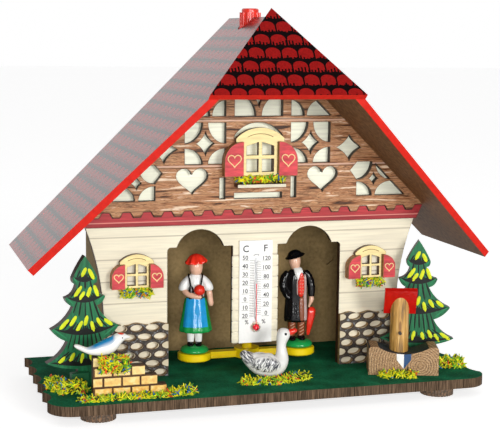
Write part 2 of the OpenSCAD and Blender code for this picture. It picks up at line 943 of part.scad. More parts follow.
module man_figure() {
    shoe_z = 2.9;
    hem_z = 10.6;
    elbow_z = 25;
    shoulder_z = 32;
    head_z = 36.2;
    hat_z = 38;
    hand = [6.3, -1.2, 20.4];
    color("black")
        on_disc(1) {
            figure_mound();
            for (side = [-1, 1]) {
                translate([side * 1.8, 0, shoe_z - 1])
                    cylinder(r = 1.6, h = hem_z - shoe_z + 4);
                translate([side * 1.8, -1.3, shoe_z])
                    sphere(1.5);
            }
            intersection() {
                rotate_extrude()
                    polygon([[0, hem_z], [5.1, hem_z], [5, hem_z + 6], [4.2, elbow_z - 3],
                        [4.9, shoulder_z - 3], [3.4, shoulder_z], [0, shoulder_z + 1]]);
                translate([-10, -4, 0])
                    cube([20, 8, 50]);
            }
            limb([-4.6, 0, shoulder_z - 2], 2, [-6.2, 0.4, elbow_z], 1.9);
            limb([-6.2, 0.4, elbow_z], 1.9, [-3.8, -1.6, elbow_z - 5.4], 1.6);
            limb([4.6, 0, shoulder_z - 2], 2, [6.2, 0, elbow_z], 1.8);
            limb([6.2, 0, elbow_z], 1.8, hand, 1.4);
            limb([hand[0] - 0.2, hand[1] - 0.2, hand[2] - 3.6], 1.7,
                [hand[0] - 1.5, hand[1] - 0.4, hand[2] - 15.6], 0.7);
            translate([hand[0], hand[1], hand[2] - 4])
                cylinder(r = 0.6, h = 4);
            cylinder(r = 1.5, h = head_z);
            translate([0, 0, head_z])
                sphere(3);
            translate([0, 0, hat_z])
                rotate([0, -16, 0])
                    rotate_extrude()
                        polygon([[0, -0.8], [4.2, -0.6], [4.4, 0], [3, 1], [2.6, 2.4], [1.4, 3.4],
                            [0, 3.5]]);
        }
}

module gut_string() {
    color("ivory")
        on_axis()
            translate([0, 0, post_top])
                cylinder(d = gut_d, h = knot_z - post_top);
}

module string_ferrule() {
    wall = 0.8;
    color("goldenrod")
        on_axis()
            translate([0, 0, post_top])
                difference() {
                    cylinder(d = gut_d + 2 * wall, h = ferrule_h);
                    translate([0, 0, -1])
                        cylinder(d = gut_d + 2 * glass_gap, h = ferrule_h + 2);
                }
}

module string_knot() {
    knot_d = gut_d + 1.6;
    color("ivory")
        on_axis()
            translate([0, 0, knot_z])
                cylinder(d = knot_d, h = 1.6);
}

// Adjusting knob in the ridge: turning it twists the string

module adjusting_knob() {
    rib_r = 0.6;
    cavity_d = gut_d + 3.4;
    color("red")
        on_axis()
            difference() {
                union() {
                    translate([0, 0, knob_seat_z])
                        cylinder(d = knob_d - 2 * rib_r, h = knob_top - cap_h - knob_seat_z);
                    translate([0, 0, knob_seat_z])
                        for (i = [0 : rib_n - 1])
                            rotate(360 * i / rib_n)
                                translate([knob_d / 2 - rib_r, 0, 0])
                                    cylinder(r = rib_r, h = knob_top - cap_h - knob_seat_z);
                    translate([0, 0, knob_seat_z - block_h])
                        cylinder(d = shank_d, h = block_h + 1);
                }
                translate([0, 0, knob_seat_z - block_h - 1])
                    cylinder(d = gut_d + 2 * string_gap, h = knot_z - knob_seat_z + block_h + 2);
                translate([0, 0, knot_z])
                    cylinder(d = cavity_d, h = knob_top);
            }
}

module knob_cap() {
    cap_d = knob_d - 2;
    edge = 0.5;
    color("red")
        on_axis()
            translate([0, 0, knob_top - cap_h])
                rotate_extrude()
                    polygon([[0, 0], [cap_d / 2, 0], [cap_d / 2, cap_h - edge], [cap_d / 2 - edge, cap_h],
                        [0, cap_h]]);
}

// Garden

// Points after p on a bowed line to q; bow is the shift of its middle
function bowed(p, q, bow, n) = [for (i = [1 : n]) let (t = i / n) p + t * (q - p) + 4 * t * (1 - t) * bow];

// Fir cut from a board: four tiers of hanging branches over a short trunk
module tree_outline(trunk_h) {
    half_w = tree_w / 2;
    function at(share) = [share[0] * half_w, trunk_h + share[1] * tree_h];
    tip = [for (t = [[0.32, 0.83], [0.52, 0.68], [0.88, 0.44], [1, 0.18]]) at(t)];
    notch = [for (t = [[0.22, 0.78], [0.3, 0.61], [0.45, 0.34], [0.2, 0.12]]) at(t)];
    top = at([0, 1]);
    crown = [0.02 * half_w, 0];
    drape = [-0.05 * half_w, -0.018 * tree_h];
    belly = [0.03 * half_w, -0.012 * tree_h];
    steps = 6;
    branches = [for (i = [0 : 3]) each concat(
        i == 0 ? bowed(top, tip[0], crown, steps) : bowed(notch[i - 1], tip[i], drape, steps),
        bowed(tip[i], notch[i], belly, steps))];
    right = concat(branches, [[notch[3][0], 0]]);
    left = [for (i = [len(right) - 1 : -1 : 0]) [-right[i][0], right[i][1]]];
    polygon(concat([top], right, left));
}

module tree(at) {
    color("seagreen")
        translate([at[0], at[1], base_top])
            rotate(at[2])
                board(tree_t / 2, tree_t)
                    tree_outline(at[3]);
}

// Block glued to the tree's face so that it stands; its middle lies `shift` beside the trunk
module tree_stand(at, shift, face) {
    stand = [7, 3.6, 6];
    color("green")
        translate([at[0], at[1], base_top])
            rotate(at[2])
                translate([shift - stand[0] / 2, face * (tree_t + stand[1]) / 2 - stand[1] / 2, 0])
                    cube(stand);
}

module left_tree() {
    tree(left_tree_at);
}

module left_tree_stand() {
    tree_stand(left_tree_at, -3.2, -1);
}

module right_tree() {
    tree(right_tree_at);
}

module right_tree_stand() {
    tree_stand(right_tree_at, 0, 1);
}

// Low wall of four courses that step down to the right, with the joints cut in
module brick_wall() {
    course_len = [1, 0.87, 0.7, 0.3] * brick_len;
    brick_w = 7.4;
    joint = 0.5;
    groove = 0.5;
    color("goldenrod")
        translate([brick_x, brick_y, base_top])
            difference() {
                for (i = [0 : 3])
                    translate([0, 0, i * course_h])
                        cube([course_len[i], brick_t, course_h]);
                for (i = [1 : 3])
                    translate([-1, -groove, i * course_h - joint / 2])
                        cube([brick_len + 2, 2 * groove, joint]);
                for (i = [0 : 3], j = [1 : 4])
                    translate([(j - 0.5 * (i % 2)) * brick_w, -groove, i * course_h])
                        cube([joint, 2 * groove, course_h]);
            }
}

module bird() {
    seat = [brick_x + 3.2, brick_y + brick_t / 2, base_top + 4 * course_h];
    color("white")
        translate(seat)
            intersection() {
                union() {
                    limb([-0.6, 0, 2.2], 2.4, [4, 0, 3.4], 3);
                    limb([4, 0, 3.4], 2.8, [7.8, 0, 6.6], 2.1);
                    limb([-1.4, 0, 2.2], 1.9, [-5, 0, 3], 1.3);
                    limb([-5, 0, 3], 1.2, [-9.6, 0, 4.8], 0.8);
                    limb([8.6, 0, 6.8], 1.5, [11.9, 0, 7], 0.4);
                }
                translate([-15, -8, 0])
                    cube([30, 16, 16]);
            }
}

module goose() {
    body = [0, 0, 5.1];
    color("white")
        translate([goose_at[0], goose_at[1], base_top])
            intersection() {
                union() {
                    limb(body + [3, 0, 0.1], 5.2, body + [-3, 0, 0.5], 4.7);
                    limb(body + [-3, 0, 0.5], 4.4, body + [-11, 0, 7.4], 1);
                    limb(body + [5, 0, 1.6], 3.8, body + [5, 0, 8], 2.4);
                    limb(body + [5, 0, 8], 2.4, body + [4.6, 0, 12.2], 2);
                    limb(body + [5.2, 0, 13.8], 2.8, body + [6.4, 0, 13.4], 2.2);
                    limb(body + [8, 0, 13.6], 1.2, body + [11.6, 0, 14.8], 0.5);
                    for (side = [-1, 1])
                        limb(body + [2, side * 4.2, 1], 1.6, body + [-7, side * 3.2, 3.8], 0.8);
                }
                translate([-20, -20, 0])
                    cube([40, 40, 40]);
            }
}

// Well: a hewn trough with a round dip, a post that stands in it and a tilted red roof board

module at_well() {
    translate([well_at[0], well_at[1], 0])
        rotate(well_at[2])
            children();
}

module trough_outline() {
    shoulder_r = 1.2;
    difference() {
        union() {
            translate([-trough_len / 2, 0])
                square([trough_len, trough_h - shoulder_r]);
            translate([-trough_len / 2 + shoulder_r, 0])
                square([trough_len - 2 * shoulder_r, trough_h]);
            for (side = [-1, 1])
                translate([side * (trough_len / 2 - shoulder_r), trough_h - shoulder_r])
                    circle(shoulder_r);
        }
        translate([0, trough_h - dip_depth + dip_r])
            circle(dip_r, $fn = 128);
    }
}

module well_trough() {
    color("tan")
        at_well()
            difference() {
                translate([0, 0, base_top])
                    board(trough_d / 2, trough_d)
                        trough_outline();
                translate([well_post_at[0], well_post_at[1], well_post_z - socket_h])
                    cylinder(d = well_post_d + 2 * socket_gap, h = socket_h + dip_depth);
            }
}

// Plane of the roof board's underside: it rises to the front
module on_well_roof() {
    translate([well_post_at[0], well_post_at[1],
            well_post_z + well_post_h - well_post_d / 2 * tan(well_tilt)])
        rotate([-well_tilt, 0, 0])
            children();
}

module well_post() {
    far = 3 * well_post_h;
    color("peru")
        at_well()
            difference() {
                translate([well_post_at[0], well_post_at[1], well_post_z - socket_h])
                    cylinder(d = well_post_d, h = well_post_h + socket_h);
                on_well_roof()
                    translate([-far / 2, -far / 2, 0])
                        cube([far, far, far]);
                translate([well_post_at[0], well_post_at[1] - well_post_d / 2 - 1, well_hole_z])
                    rotate([-90, 0, 0])
                        cylinder(d = spout_d, h = 4);
            }
}

module well_spout() {
    color("sienna")
        at_well()
            translate([well_post_at[0], well_post_at[1] - well_post_d / 2 - 1.6, well_hole_z])
                rotate([-90, 0, 0])
                    cylinder(d = spout_d - 2 * socket_gap, h = 4);
}

module well_roof() {
    roof_len = 12.5;
    board_t = 2;
    lower_end = 0.8;
    color("red")
        at_well()
            on_well_roof()
                translate([-well_roof_w / 2, lower_end - roof_len, 0])
                    cube([well_roof_w, roof_len, board_t]);
}

// Tufts of grass and dried flowers: low mounds over rows of round patches

module tuft(patches, h) {
    for (i = [0 : len(patches) - 2])
        hull()
            for (p = [patches[i], patches[i + 1]])
                translate([p[0], p[1], base_top]) {
                    cylinder(r = p[2], h = h * 0.4, $fn = 16);
                    cylinder(r = p[2] * 0.6, h = h, $fn = 16);
                }
}

// Runs from the tree round its stand to the brick wall
module left_grass() {
    wall_gap = [13, 9, 3.5];
    house_gap = [9.5, 17, 18];
    patch_r = [3, 3.4, 3];
    color("yellowgreen")
        tuft([for (i = [0 : 2]) [brick_x - wall_gap[i], -house_gap[i], patch_r[i]]], tuft_h);
}

module wall_grass() {
    front_y = brick_y - seat_gap - 2.6;
    color("yellowgreen")
        tuft([[brick_x - 3.5, front_y, 2.4], [brick_x + 12, front_y, 2.2],
            [brick_x + brick_len, front_y, 2.5], [brick_x + brick_len + 9, front_y + 2, 3]], low_tuft_h);
}

module wall_top_flowers() {
    bunch = [11.6, 1.5 * course_h, 2.8];
    from_left = 8;
    color("yellowgreen")
        translate([brick_x + from_left, brick_y - seat_gap, base_top + 2.6 * course_h])
            flower_bunch(bunch[0], bunch[1], bunch[2]);
}

module goose_grass() {
    goose_room = [17.6, 20, 10];
    room_front = 5.6;
    tail_end = [-11, -4.5];
    breast_end = [14, -3];
    color("yellowgreen")
        translate([goose_at[0], goose_at[1], 0])
            difference() {
                tuft([concat(tail_end, 2.5), [0, -5, 5], concat(breast_end, 3)], low_tuft_h);
                translate([-goose_room[0] / 2, -room_front, base_top - 1])
                    cube(goose_room);
            }
}

module well_grass() {
    patch_r = 2.4;
    front_y = -trough_d / 2 - 2 * seat_gap - patch_r;
    color("yellowgreen")
        at_well()
            tuft([[-8, front_y, patch_r], [3, front_y, patch_r]], low_tuft_h);
}

module right_grass() {
    color("yellowgreen")
        tuft([[base_half - 12, -17, 3], [base_half - 6.5, -19, 3]], tuft_h);
}

base_board();
feet();
front_wall();
left_side_wall();
right_side_wall();
back_wall();
left_plinth();
right_plinth();
eave_band();
gable_fretwork();
left_roof();
right_roof();
hip_roof();
ridge_block();
post_guide();
thermometer_plate();
thermometer_tube();
thermometer_liquid();
gable_window();
gable_shutters();
gable_sill();
gable_flowers();
left_window();
left_shutters();
left_window_flowers();
right_window();
right_shutters();
right_window_flowers();
left_tree();
left_tree_stand();
right_tree();
right_tree_stand();
brick_wall();
bird();
wall_top_flowers();
goose();
goose_grass();
well_trough();
well_post();
well_spout();
well_roof();
left_grass();
wall_grass();
well_grass();
right_grass();
weather_beam();
woman_figure();
man_figure();
gut_string();
string_ferrule();
string_knot();
adjusting_knob();
knob_cap();
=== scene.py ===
import math
import random
from functools import partial

import bmesh
import bpy
from mathutils import Matrix, Vector


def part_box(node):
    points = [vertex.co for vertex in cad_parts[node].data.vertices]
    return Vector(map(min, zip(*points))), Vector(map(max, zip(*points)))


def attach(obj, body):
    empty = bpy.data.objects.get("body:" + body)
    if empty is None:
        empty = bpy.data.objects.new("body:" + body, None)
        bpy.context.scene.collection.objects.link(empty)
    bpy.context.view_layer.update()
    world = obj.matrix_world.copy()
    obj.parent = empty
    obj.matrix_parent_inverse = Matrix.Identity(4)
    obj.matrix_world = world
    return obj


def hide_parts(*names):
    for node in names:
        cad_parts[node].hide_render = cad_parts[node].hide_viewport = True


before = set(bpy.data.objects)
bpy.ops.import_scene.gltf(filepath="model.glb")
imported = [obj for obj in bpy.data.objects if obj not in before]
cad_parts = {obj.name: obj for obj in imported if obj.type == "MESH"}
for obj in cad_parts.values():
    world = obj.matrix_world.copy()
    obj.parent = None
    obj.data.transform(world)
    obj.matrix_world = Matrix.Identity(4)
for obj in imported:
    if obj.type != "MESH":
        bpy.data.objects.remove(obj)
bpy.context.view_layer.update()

bl_info = {
    "name": "Weather House",
    "version": (1, 0, 0),
    "blender": (4, 5, 0),
    "location": "View3D > Sidebar > Weather House",
    "description": "Paints, prints and dresses a small wooden weather house",
    "category": "Add Mesh",
}

MM = 0.001
UP = Vector((0, 0, 1))


def linear(code):
    """Linear colour of an sRGB hex code."""
    parts = [int(code[i:i + 2], 16) / 255 for i in (0, 2, 4)]
    return [c / 12.92 if c <= 0.04045 else ((c + 0.055) / 1.055) ** 2.4 for c in parts]


def paint(label, about, code):
    """A colour that the user may change."""
    return bpy.props.FloatVectorProperty(
        name=label, description=about, subtype="COLOR", size=3, min=0, max=1, default=linear(code))


def length(label, about, mm):
    """A length in millimetres that the user may change."""
    return bpy.props.FloatProperty(name=label, description=about, unit="LENGTH", default=mm * MM)


class HousePaints(bpy.types.PropertyGroup):
    """Colours of the boards and the house"""
    cream: paint("Wall", "Cream stain on the front wall", "efe6cd")
    gable: paint("Gable", "Pale green-cream board behind the fretwork", "fdfbe4")
    burnt: paint("Burnt edge", "Edge of a board after the laser cut it", "3a2416")
    brown: paint("Inside", "Brown board of the walls behind the front", "9c8358")
    flock: paint("Flock", "Green flock on the base board", "1a6e4b")
    edge: paint("Base edge", "Scorched edge of the base board", "5c4a3a")
    stone: paint("Plinth", "Dark grey print between the stones", "45433f")
    band: paint("Eave band", "Red stain of the band under the gable", "b8373b")
    fret: paint("Fretwork", "Brown of the printed fretwork", "a5693f")
    tile: paint("Tiles", "Red of the printed roof tiles", "941615")
    tile_gap: paint("Tile gaps", "Black between the printed tiles", "120809")
    roof_edge: paint("Roof edge", "Orange-red paint on the roof boards' edges", "d2261b")
    window: paint("Windows", "Yellow-cream paint of the window frames", "f6e0a0")
    shutter: paint("Shutters", "Soft red of the shutters", "cb454b")
    brick: paint("Bricks", "Sandy yellow of the garden wall", "f5c05a")


class GardenPaints(bpy.types.PropertyGroup):
    """Colours of the garden, the figures and the mechanism"""
    fir: paint("Fir", "Green of the trees", "206d45")
    fir_dark: paint("Fir shade", "Black-green under the branches", "0b120e")
    fir_light: paint("Fir tips", "Yellow-green strokes on the branches", "d8e31e")
    trough: paint("Trough", "Hewn wood of the trough", "b28b60")
    twig: paint("Post", "Peeled twig of the well", "cc994a")
    red: paint("Red enamel", "Hat, ball, umbrella and well roof", "e6301f")
    white: paint("White enamel", "Blouse, stockings, birds and plate", "f4f3ef")
    blue: paint("Blue enamel", "Apron and the small bird's back", "2199d8")
    green: paint("Green enamel", "Skirt and mounds", "1f9c4c")
    black: paint("Black enamel", "Coat, hat and shoes", "0e0d0f")
    skin: paint("Skin", "Faces and hands", "e8b79b")
    leather: paint("Breeches", "Brown breeches and stockings", "8c4a2c")
    lining: paint("Lining", "Grey lining of the coat", "ae9690")
    beam: paint("Beam", "Yellow plastic of the turning beam", "ffdb0e")
    ink: paint("Scale ink", "Grey print of the thermometer's scale", "343438")
    spirit: paint("Spirit", "Red spirit in the tube", "e0202c")


class HouseSizes(bpy.types.PropertyGroup):
    """Sizes of the finishes"""
    tile_w: length("Tile width", "Printed tiles from middle to middle", 6.78)
    tile_h: length("Tile row", "Printed rows from top to top", 6.46)
    board_h: length("Wall boards", "Height of a board scored into the front wall", 9.2)
    quoin_h: length("Quoins", "Height of a brick at the pier's edges", 4.7)
    fibre_d: length("Fibre", "Thickness of a dried fibre", 0.56)
    fibre_l: length("Fibre length", "Mean length of a dried fibre", 4.2)
    fibres: bpy.props.FloatProperty(
        name="Fibres", description="Fibres on a square millimetre of a tuft", default=1.35, min=0)


# Node helpers

def join(node, inputs):
    """Feeds a node's sockets, by name or in their order, with plain values or with other nodes."""
    sockets = [s for s in node.inputs if s.enabled]
    for key, value in inputs.items() if isinstance(inputs, dict) else enumerate(inputs):
        socket = next(s for s in sockets if s.name == key) if isinstance(key, str) else sockets[key]
        if isinstance(value, bpy.types.Node):
            value = next(s for s in value.outputs if s.enabled)
        if isinstance(value, bpy.types.NodeSocket):
            node.id_data.links.new(value, socket)
        elif socket.type == "RGBA":
            socket.default_value = (*value[:3], 1)
        else:
            socket.default_value = value


def add_node(tree, kind, *inputs, stops=(), **settings):
    """Adds a node, such as Mapping or Math.ADD, with its settings, its links and a ramp's colour stops.

    The inputs come in the sockets' order, or by name in one dictionary.
    """
    kind, _, mode = kind.partition(".")
    node = tree.nodes.new("ShaderNode" + kind)
    if mode:
        settings["data_type" if kind == "Mix" else "operation"] = mode
    for key, value in settings.items():
        setattr(node, key, value)
    for i, (at, colour) in enumerate(stops):
        ramp = node.color_ramp.elements
        stop = ramp[i] if i < 2 else ramp.new(at)
        stop.position = at
        stop.color = (*colour[:3], 1)
    join(node, inputs[0] if inputs and isinstance(inputs[0], dict) else inputs)
    return node


def begin(name, values):
    """A new material: itself, what adds its nodes, its shader, the point in millimetres and the normal."""
    material = bpy.data.materials.new(name)
    material.use_nodes = True
    add = partial(add_node, material.node_tree)
    shader = material.node_tree.nodes["Principled BSDF"]
    join(shader, values)
    where = add("TexCoord").outputs
    point = add("Mapping", {"Vector": where["Object"], "Scale": [1 / MM] * 3})
    return material, add, shader, point, where["Normal"]


def shade(colour, factor):
    """The same colour, lighter or darker."""
    return [min(1, c * factor) for c in colour]


def mottle(add, point, size, stops, detail=4.0, **more):
    """Colours over noise, and the noise; `size` is its grain in millimetres, or that along X, Y and Z."""
    scale = 1.0
    if isinstance(size, tuple):
        point = add("Mapping", {"Vector": point, "Scale": [1 / s for s in size]})
    else:
        scale = 1 / size
    noise = add("TexNoise", {"Vector": point, "Scale": scale, "Detail": detail, **more})
    return add("ValToRGB", noise, stops=stops), noise


def mottled(name, values, size, stops, detail=2.0, lift=0.0):
    """A whole finish of one mottled colour; `lift` is how strongly the mottle raises the surface."""
    material, add, shader, point, _ = begin(name, values)
    colour, noise = mottle(add, point, size, stops, detail)
    join(shader, {"Base Color": colour})
    if lift:
        join(shader, {"Normal": add("Bump", {"Height": noise, "Strength": lift, "Distance": 0.3 * MM})})
    return material


def from_oval(add, point, middle, half):
    """Distance from an oval's middle, which is 1 at its rim; a half of 0 leaves that axis out."""
    local = add("Mapping", {"Vector": point, "Scale": [1 / h if h else 0 for h in half],
                            "Location": [-m / h if h else 0 for m, h in zip(middle, half)]})
    return add("VectorMath.LENGTH", local)


# Mesh helpers: everything is modelled in millimetres

def box_mm(node):
    """Lowest and highest corner of a solid, in millimetres."""
    low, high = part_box(node)
    return low / MM, high / MM


def shift(x, y, z):
    return Matrix.Translation((x, y, z))


def turned(degrees, axis):
    return Matrix.Rotation(math.radians(degrees), 4, axis)


def stretched(x, y, z):
    return Matrix.Diagonal((x, y, z, 1))


def settle(mesh, name, body, finishes, replaces=(), levels=0):
    """Makes a mesh in millimetres a finished piece that rides on a body."""
    mesh.transform(Matrix.Scale(MM, 4))
    for i, finish in enumerate(finishes):
        if i < len(mesh.materials):
            mesh.materials[i] = finish
        else:
            mesh.materials.append(finish)
    mesh.shade_smooth()
    mesh.set_sharp_from_angle(angle=math.radians(45))
    mesh.name = name
    thing = bpy.data.objects.new(name, mesh)
    bpy.context.collection.objects.link(thing)
    if levels:
        rounding = thing.modifiers.new("Rounding", "SUBSURF")
        rounding.levels = rounding.render_levels = levels
    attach(thing, body)
    if replaces:
        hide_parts(*replaces)


def piece(bm, name, body, finishes, replaces=(), levels=0, place=None):
    """Closes a bmesh off as a finished piece."""
    if place:
        bmesh.ops.transform(bm, matrix=place, verts=bm.verts)
    bmesh.ops.recalc_face_normals(bm, faces=bm.faces)
    mesh = bpy.data.meshes.new(name)
    bm.to_mesh(mesh)
    bm.free()
    settle(mesh, name, body, finishes, replaces, levels)


def edges_of(verts):
    return list(dict.fromkeys(edge for v in verts for edge in v.link_edges))


def faces_of(verts):
    return list(dict.fromkeys(face for v in verts for face in v.link_faces))


def loft(bm, stations, segments=16, upright=True):
    """Skins a closed form through oval rings; a station is a centre, a half width and a half depth.

    Rings that aren't upright stand across the path, which runs in a plane of constant Y or nearly so.
    """
    middles = [Vector(s[:3]) for s in stations]
    rims = []
    for i, (half_w, half_d) in enumerate(s[3:5] for s in stations):
        place = Matrix.Translation(middles[i])
        if not upright:
            along = middles[min(i + 1, len(middles) - 1)] - middles[max(i - 1, 0)]
            across = Vector((0, 1, 0)).cross(along).normalized()
            axes = (across, along.cross(across).normalized(), along.normalized())
            place = place @ Matrix(axes).transposed().to_4x4()
        place = place @ stretched(half_w, half_d, 1)
        ring = bmesh.ops.create_circle(bm, segments=segments, radius=1, matrix=place)["verts"]
        rims.append(edges_of(ring))
    for lower, upper in zip(rims, rims[1:]):
        bmesh.ops.bridge_loops(bm, edges=lower + upper)
    for rim in (rims[0], rims[-1]):
        bmesh.ops.edgeloop_fill(bm, edges=rim)


def turn_on_lathe(bm, profile, segments=32):
    """Spins a profile of (radius, height) points about the upright axis."""
    chain = [bm.verts.new((r, 0, z)) for r, z in profile]
    links = [bm.edges.new(pair) for pair in zip(chain, chain[1:])]
    bmesh.ops.spin(bm, geom=chain + links, cent=(0, 0, 0), axis=UP, angle=math.tau,
                   steps=segments, use_merge=True)
    bmesh.ops.remove_doubles(bm, verts=bm.verts, dist=1e-4)
    return list(bm.verts)


def block(bm, low, high, edge=0.0, finish=0):
    """A box between two corners, its edges rounded."""
    low, high = Vector(low), Vector(high)
    place = Matrix.Translation((low + high) / 2) @ stretched(*(high - low))
    verts = bmesh.ops.create_cube(bm, size=1, matrix=place)["verts"]
    for face in faces_of(verts):
        face.material_index = finish
    if edge:
        bmesh.ops.bevel(bm, geom=edges_of(verts), offset=edge, segments=2, profile=0.5,
                        affect="EDGES", material=-1)


def stroke(bm, at, along, half_w, half_t, finish=0):
    """A flat brush stroke on a board that faces -Y: its middle, its half run and its half thickness."""
    run = Vector(along)
    lean = math.atan2(run.x, run.z)
    place = Matrix.Translation(at) @ Matrix.Rotation(lean, 4, "Y") @ stretched(half_w, half_t, run.length)
    verts = bmesh.ops.create_uvsphere(bm, u_segments=10, v_segments=8, radius=1)["verts"]
    for v in verts:
        v.co.z = math.copysign(abs(v.co.z) ** 0.7, v.co.z)
    bmesh.ops.transform(bm, matrix=place, verts=verts)
    for face in faces_of(verts):
        face.material_index = finish


def wires(paths, radius, finishes=1, corners=0):
    """A mesh of thin rods along paths; a path is its points, its finish and whether it closes."""
    curve = bpy.data.curves.new("wires", "CURVE")
    curve.dimensions = "3D"
    curve.bevel_depth = radius
    curve.bevel_resolution = corners
    curve.use_fill_caps = True
    for _ in range(finishes):
        curve.materials.append(None)
    for points, finish, closed in paths:
        line = curve.splines.new("POLY")
        line.points.add(len(points) - 1)
        for knot, point in zip(line.points, points):
            knot.co = (*point[:3], 1)
            knot.radius = point[3] if len(point) > 3 else 1
        line.use_cyclic_u = closed
        line.material_index = finish
    return made_mesh(curve)


def made_mesh(curve):
    """Turns a curve or a text into a mesh and drops the curve."""
    holder = bpy.data.objects.new("holder", curve)
    bpy.context.collection.objects.link(holder)
    graph = bpy.context.evaluated_depsgraph_get()
    mesh = bpy.data.meshes.new_from_object(holder.evaluated_get(graph))
    bpy.data.objects.remove(holder)
    return mesh


def dress(node, finish):
    """Gives a solid that stays in view its finish."""
    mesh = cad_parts[node].data
    mesh.materials.clear()
    mesh.materials.append(finish)


# Finishes of the boards

def cut_board(name, face, burnt, roughness=0.6, rim=0.0):
    """A laser-cut board: `face` colours its front and its back, and its edges are burnt.

    `rim` is how far the scorch runs from the cut onto the front, in millimetres.
    """
    material, add, shader, point, normal = begin(name, {"Roughness": roughness, "Specular IOR Level": 0.25})
    flat = add("Math.ABSOLUTE", add("SeparateXYZ", normal).outputs["Y"])
    on_face = add("Math.GREATER_THAN", flat, 0.6)
    scorched, _ = mottle(add, point, 1.5, [(0.3, shade(burnt, 0.6)), (0.7, shade(burnt, 1.7))], 3.0)
    colour = face(add, point)
    if rim:
        rounded = add("SeparateXYZ", add("Bevel", {"Radius": rim * MM}, samples=6))
        slant = add("Math.ABSOLUTE", rounded.outputs["Y"])
        colour = add("Mix.RGBA", add("MapRange", slant, 0.82, 0.99, 0.8, 0.0), colour, scorched)
    join(shader, {"Base Color": add("Mix.RGBA", on_face, scorched, colour)})
    return material


def limewood(paints, sizes):
    """Basswood ply, stained cream and scored with a laser: matt, faint grain, thin brown score lines.

    Behind the fretwork it is paler and unscored, and no line shows between the plinth's stones.
    """
    score_w, first_line_z, pitch = 0.34, 11.6, sizes.board_h / MM
    plinth_z, gable_z = box_mm("left_plinth")[1].z, box_mm("gable_fretwork")[0].z

    def face(add, point):
        wood, grain = mottle(add, point, (22, 4, 1.1),
                             [(0.32, shade(paints.cream, 0.9)), (0.62, shade(paints.cream, 1.04))])
        green = add("ValToRGB", grain,
                    stops=[(0.32, shade(paints.gable, 0.86)), (0.62, shade(paints.gable, 1.04))])
        height = add("SeparateXYZ", point).outputs["Z"]
        to_line = add("Math.PINGPONG", add("Math.SUBTRACT", height, first_line_z), pitch / 2)
        line = add("MapRange", to_line, score_w / 2, score_w, 0.42, 0.0)
        shown = add("Math.MULTIPLY", line, add("Math.GREATER_THAN", height, plinth_z))
        scored = add("Mix.RGBA", shown, wood, shade(paints.burnt, 2.4))
        return add("Mix.RGBA", add("Math.GREATER_THAN", height, gable_z), scored, green)

    return cut_board("basswood_cream", face, paints.burnt, 0.62, 0.4)


def hardboard(paints):
    """Smooth brown hardboard: matt, with a mottle of fine pressed fibres."""
    material, add, shader, point, _ = begin("hardboard_brown", {"Roughness": 0.7, "Specular IOR Level": 0.2})
    # the pressed fibres are finer than 1.6 mm and are drawn coarser, so that they show
    fibre = add("TexNoise", {"Vector": point, "Scale": 1 / 1.6, "Detail": 5.0})
    cloud = add("TexNoise", {"Vector": point, "Scale": 1 / 14, "Detail": 2.0})
    both = add("Math.MULTIPLY", add("Math.ADD", fibre, cloud), 0.5)
    colour = add("ValToRGB", both, stops=[(0.36, shade(paints.brown, 0.72)), (0.62, shade(paints.brown, 1.2))])
    bump = add("Bump", {"Height": fibre, "Strength": 0.15, "Distance": 0.2 * MM})
    join(shader, {"Base Color": colour, "Normal": bump})
    return material


def stone_print(paints):
    """Stone print on ply: cream stones with scorched rims, charcoal and blue-grey between them."""
    low, high = box_mm("right_plinth")
    cols, rows = 4, 6
    middle, half = (0.5, 0.46, 0), (0.4, 0.39, 1)    # of a stone, as shares of its cell

    def face(add, point):
        axes = add("SeparateXYZ", point).outputs
        inward = add("Math.SUBTRACT", add("Math.ABSOLUTE", axes["X"]), low.x)
        rise = add("Math.SUBTRACT", axes["Z"], low.z)
        up = add("Math.MULTIPLY", rise, rows / (high.z - low.z))
        start = add("Math.MULTIPLY", add("Math.MODULO", add("Math.FLOOR", up), 2.0), -0.5)
        along = add("Math.MULTIPLY_ADD", inward, cols / (high.x - low.x), start)
        cell = add("CombineXYZ", add("Math.FRACT", along), add("Math.FRACT", up))
        grey, blotch = mottle(add, point, 1.6, [
            (0.34, shade(paints.stone, 0.3)), (0.46, paints.stone), (0.56, linear("4a3a2c")),
            (0.66, linear("868e94"))], Roughness=0.65)
        wobbly = add("Math.MULTIPLY_ADD", blotch, 0.24, from_oval(add, cell, middle, half))
        rim, gap = add("MapRange", wobbly, 1.08, 1.14), add("MapRange", wobbly, 1.26, 1.36)
        return add("Mix.RGBA", gap, add("Mix.RGBA", rim, linear("d8caac"), paints.burnt), grey)

    return cut_board("ply_stone_print", face, linear("947a54"), 0.55)


def stained_band(paints):
    """Red-stained ply: silky, pale grain lines, a painted highlight line along the band with painted shade below
    it, and a burnt rim at the teeth.
    """
    highlight_z = box_mm("eave_band")[0].z + 1.9

    def face(add, point):
        wood, _ = mottle(add, point, (14, 3, 0.8), [
            (0.3, shade(paints.band, 0.62)), (0.6, paints.band), (0.78, shade(paints.band, 1.7))], 5.0)
        # Painted light: a pale painted highlight line at highlight_z and painted shade on the band below it;
        # score is the height above that line
        score = add("Math.SUBTRACT", add("SeparateXYZ", point).outputs["Z"], highlight_z)
        line = add("MapRange", add("Math.ABSOLUTE", score), 0.1, 0.3, 0.55, 0.0)
        with_painted_highlight = add("Mix.RGBA", line, wood, linear("f0b0a0"))
        painted_shade_below = add("Math.MULTIPLY", add("Math.LESS_THAN", score, -0.3), 0.4)
        return add("Mix.RGBA", painted_shade_below, with_painted_highlight, shade(paints.band, 0.35))

    return cut_board("ply_red_stain", face, paints.burnt, 0.45, 0.6)


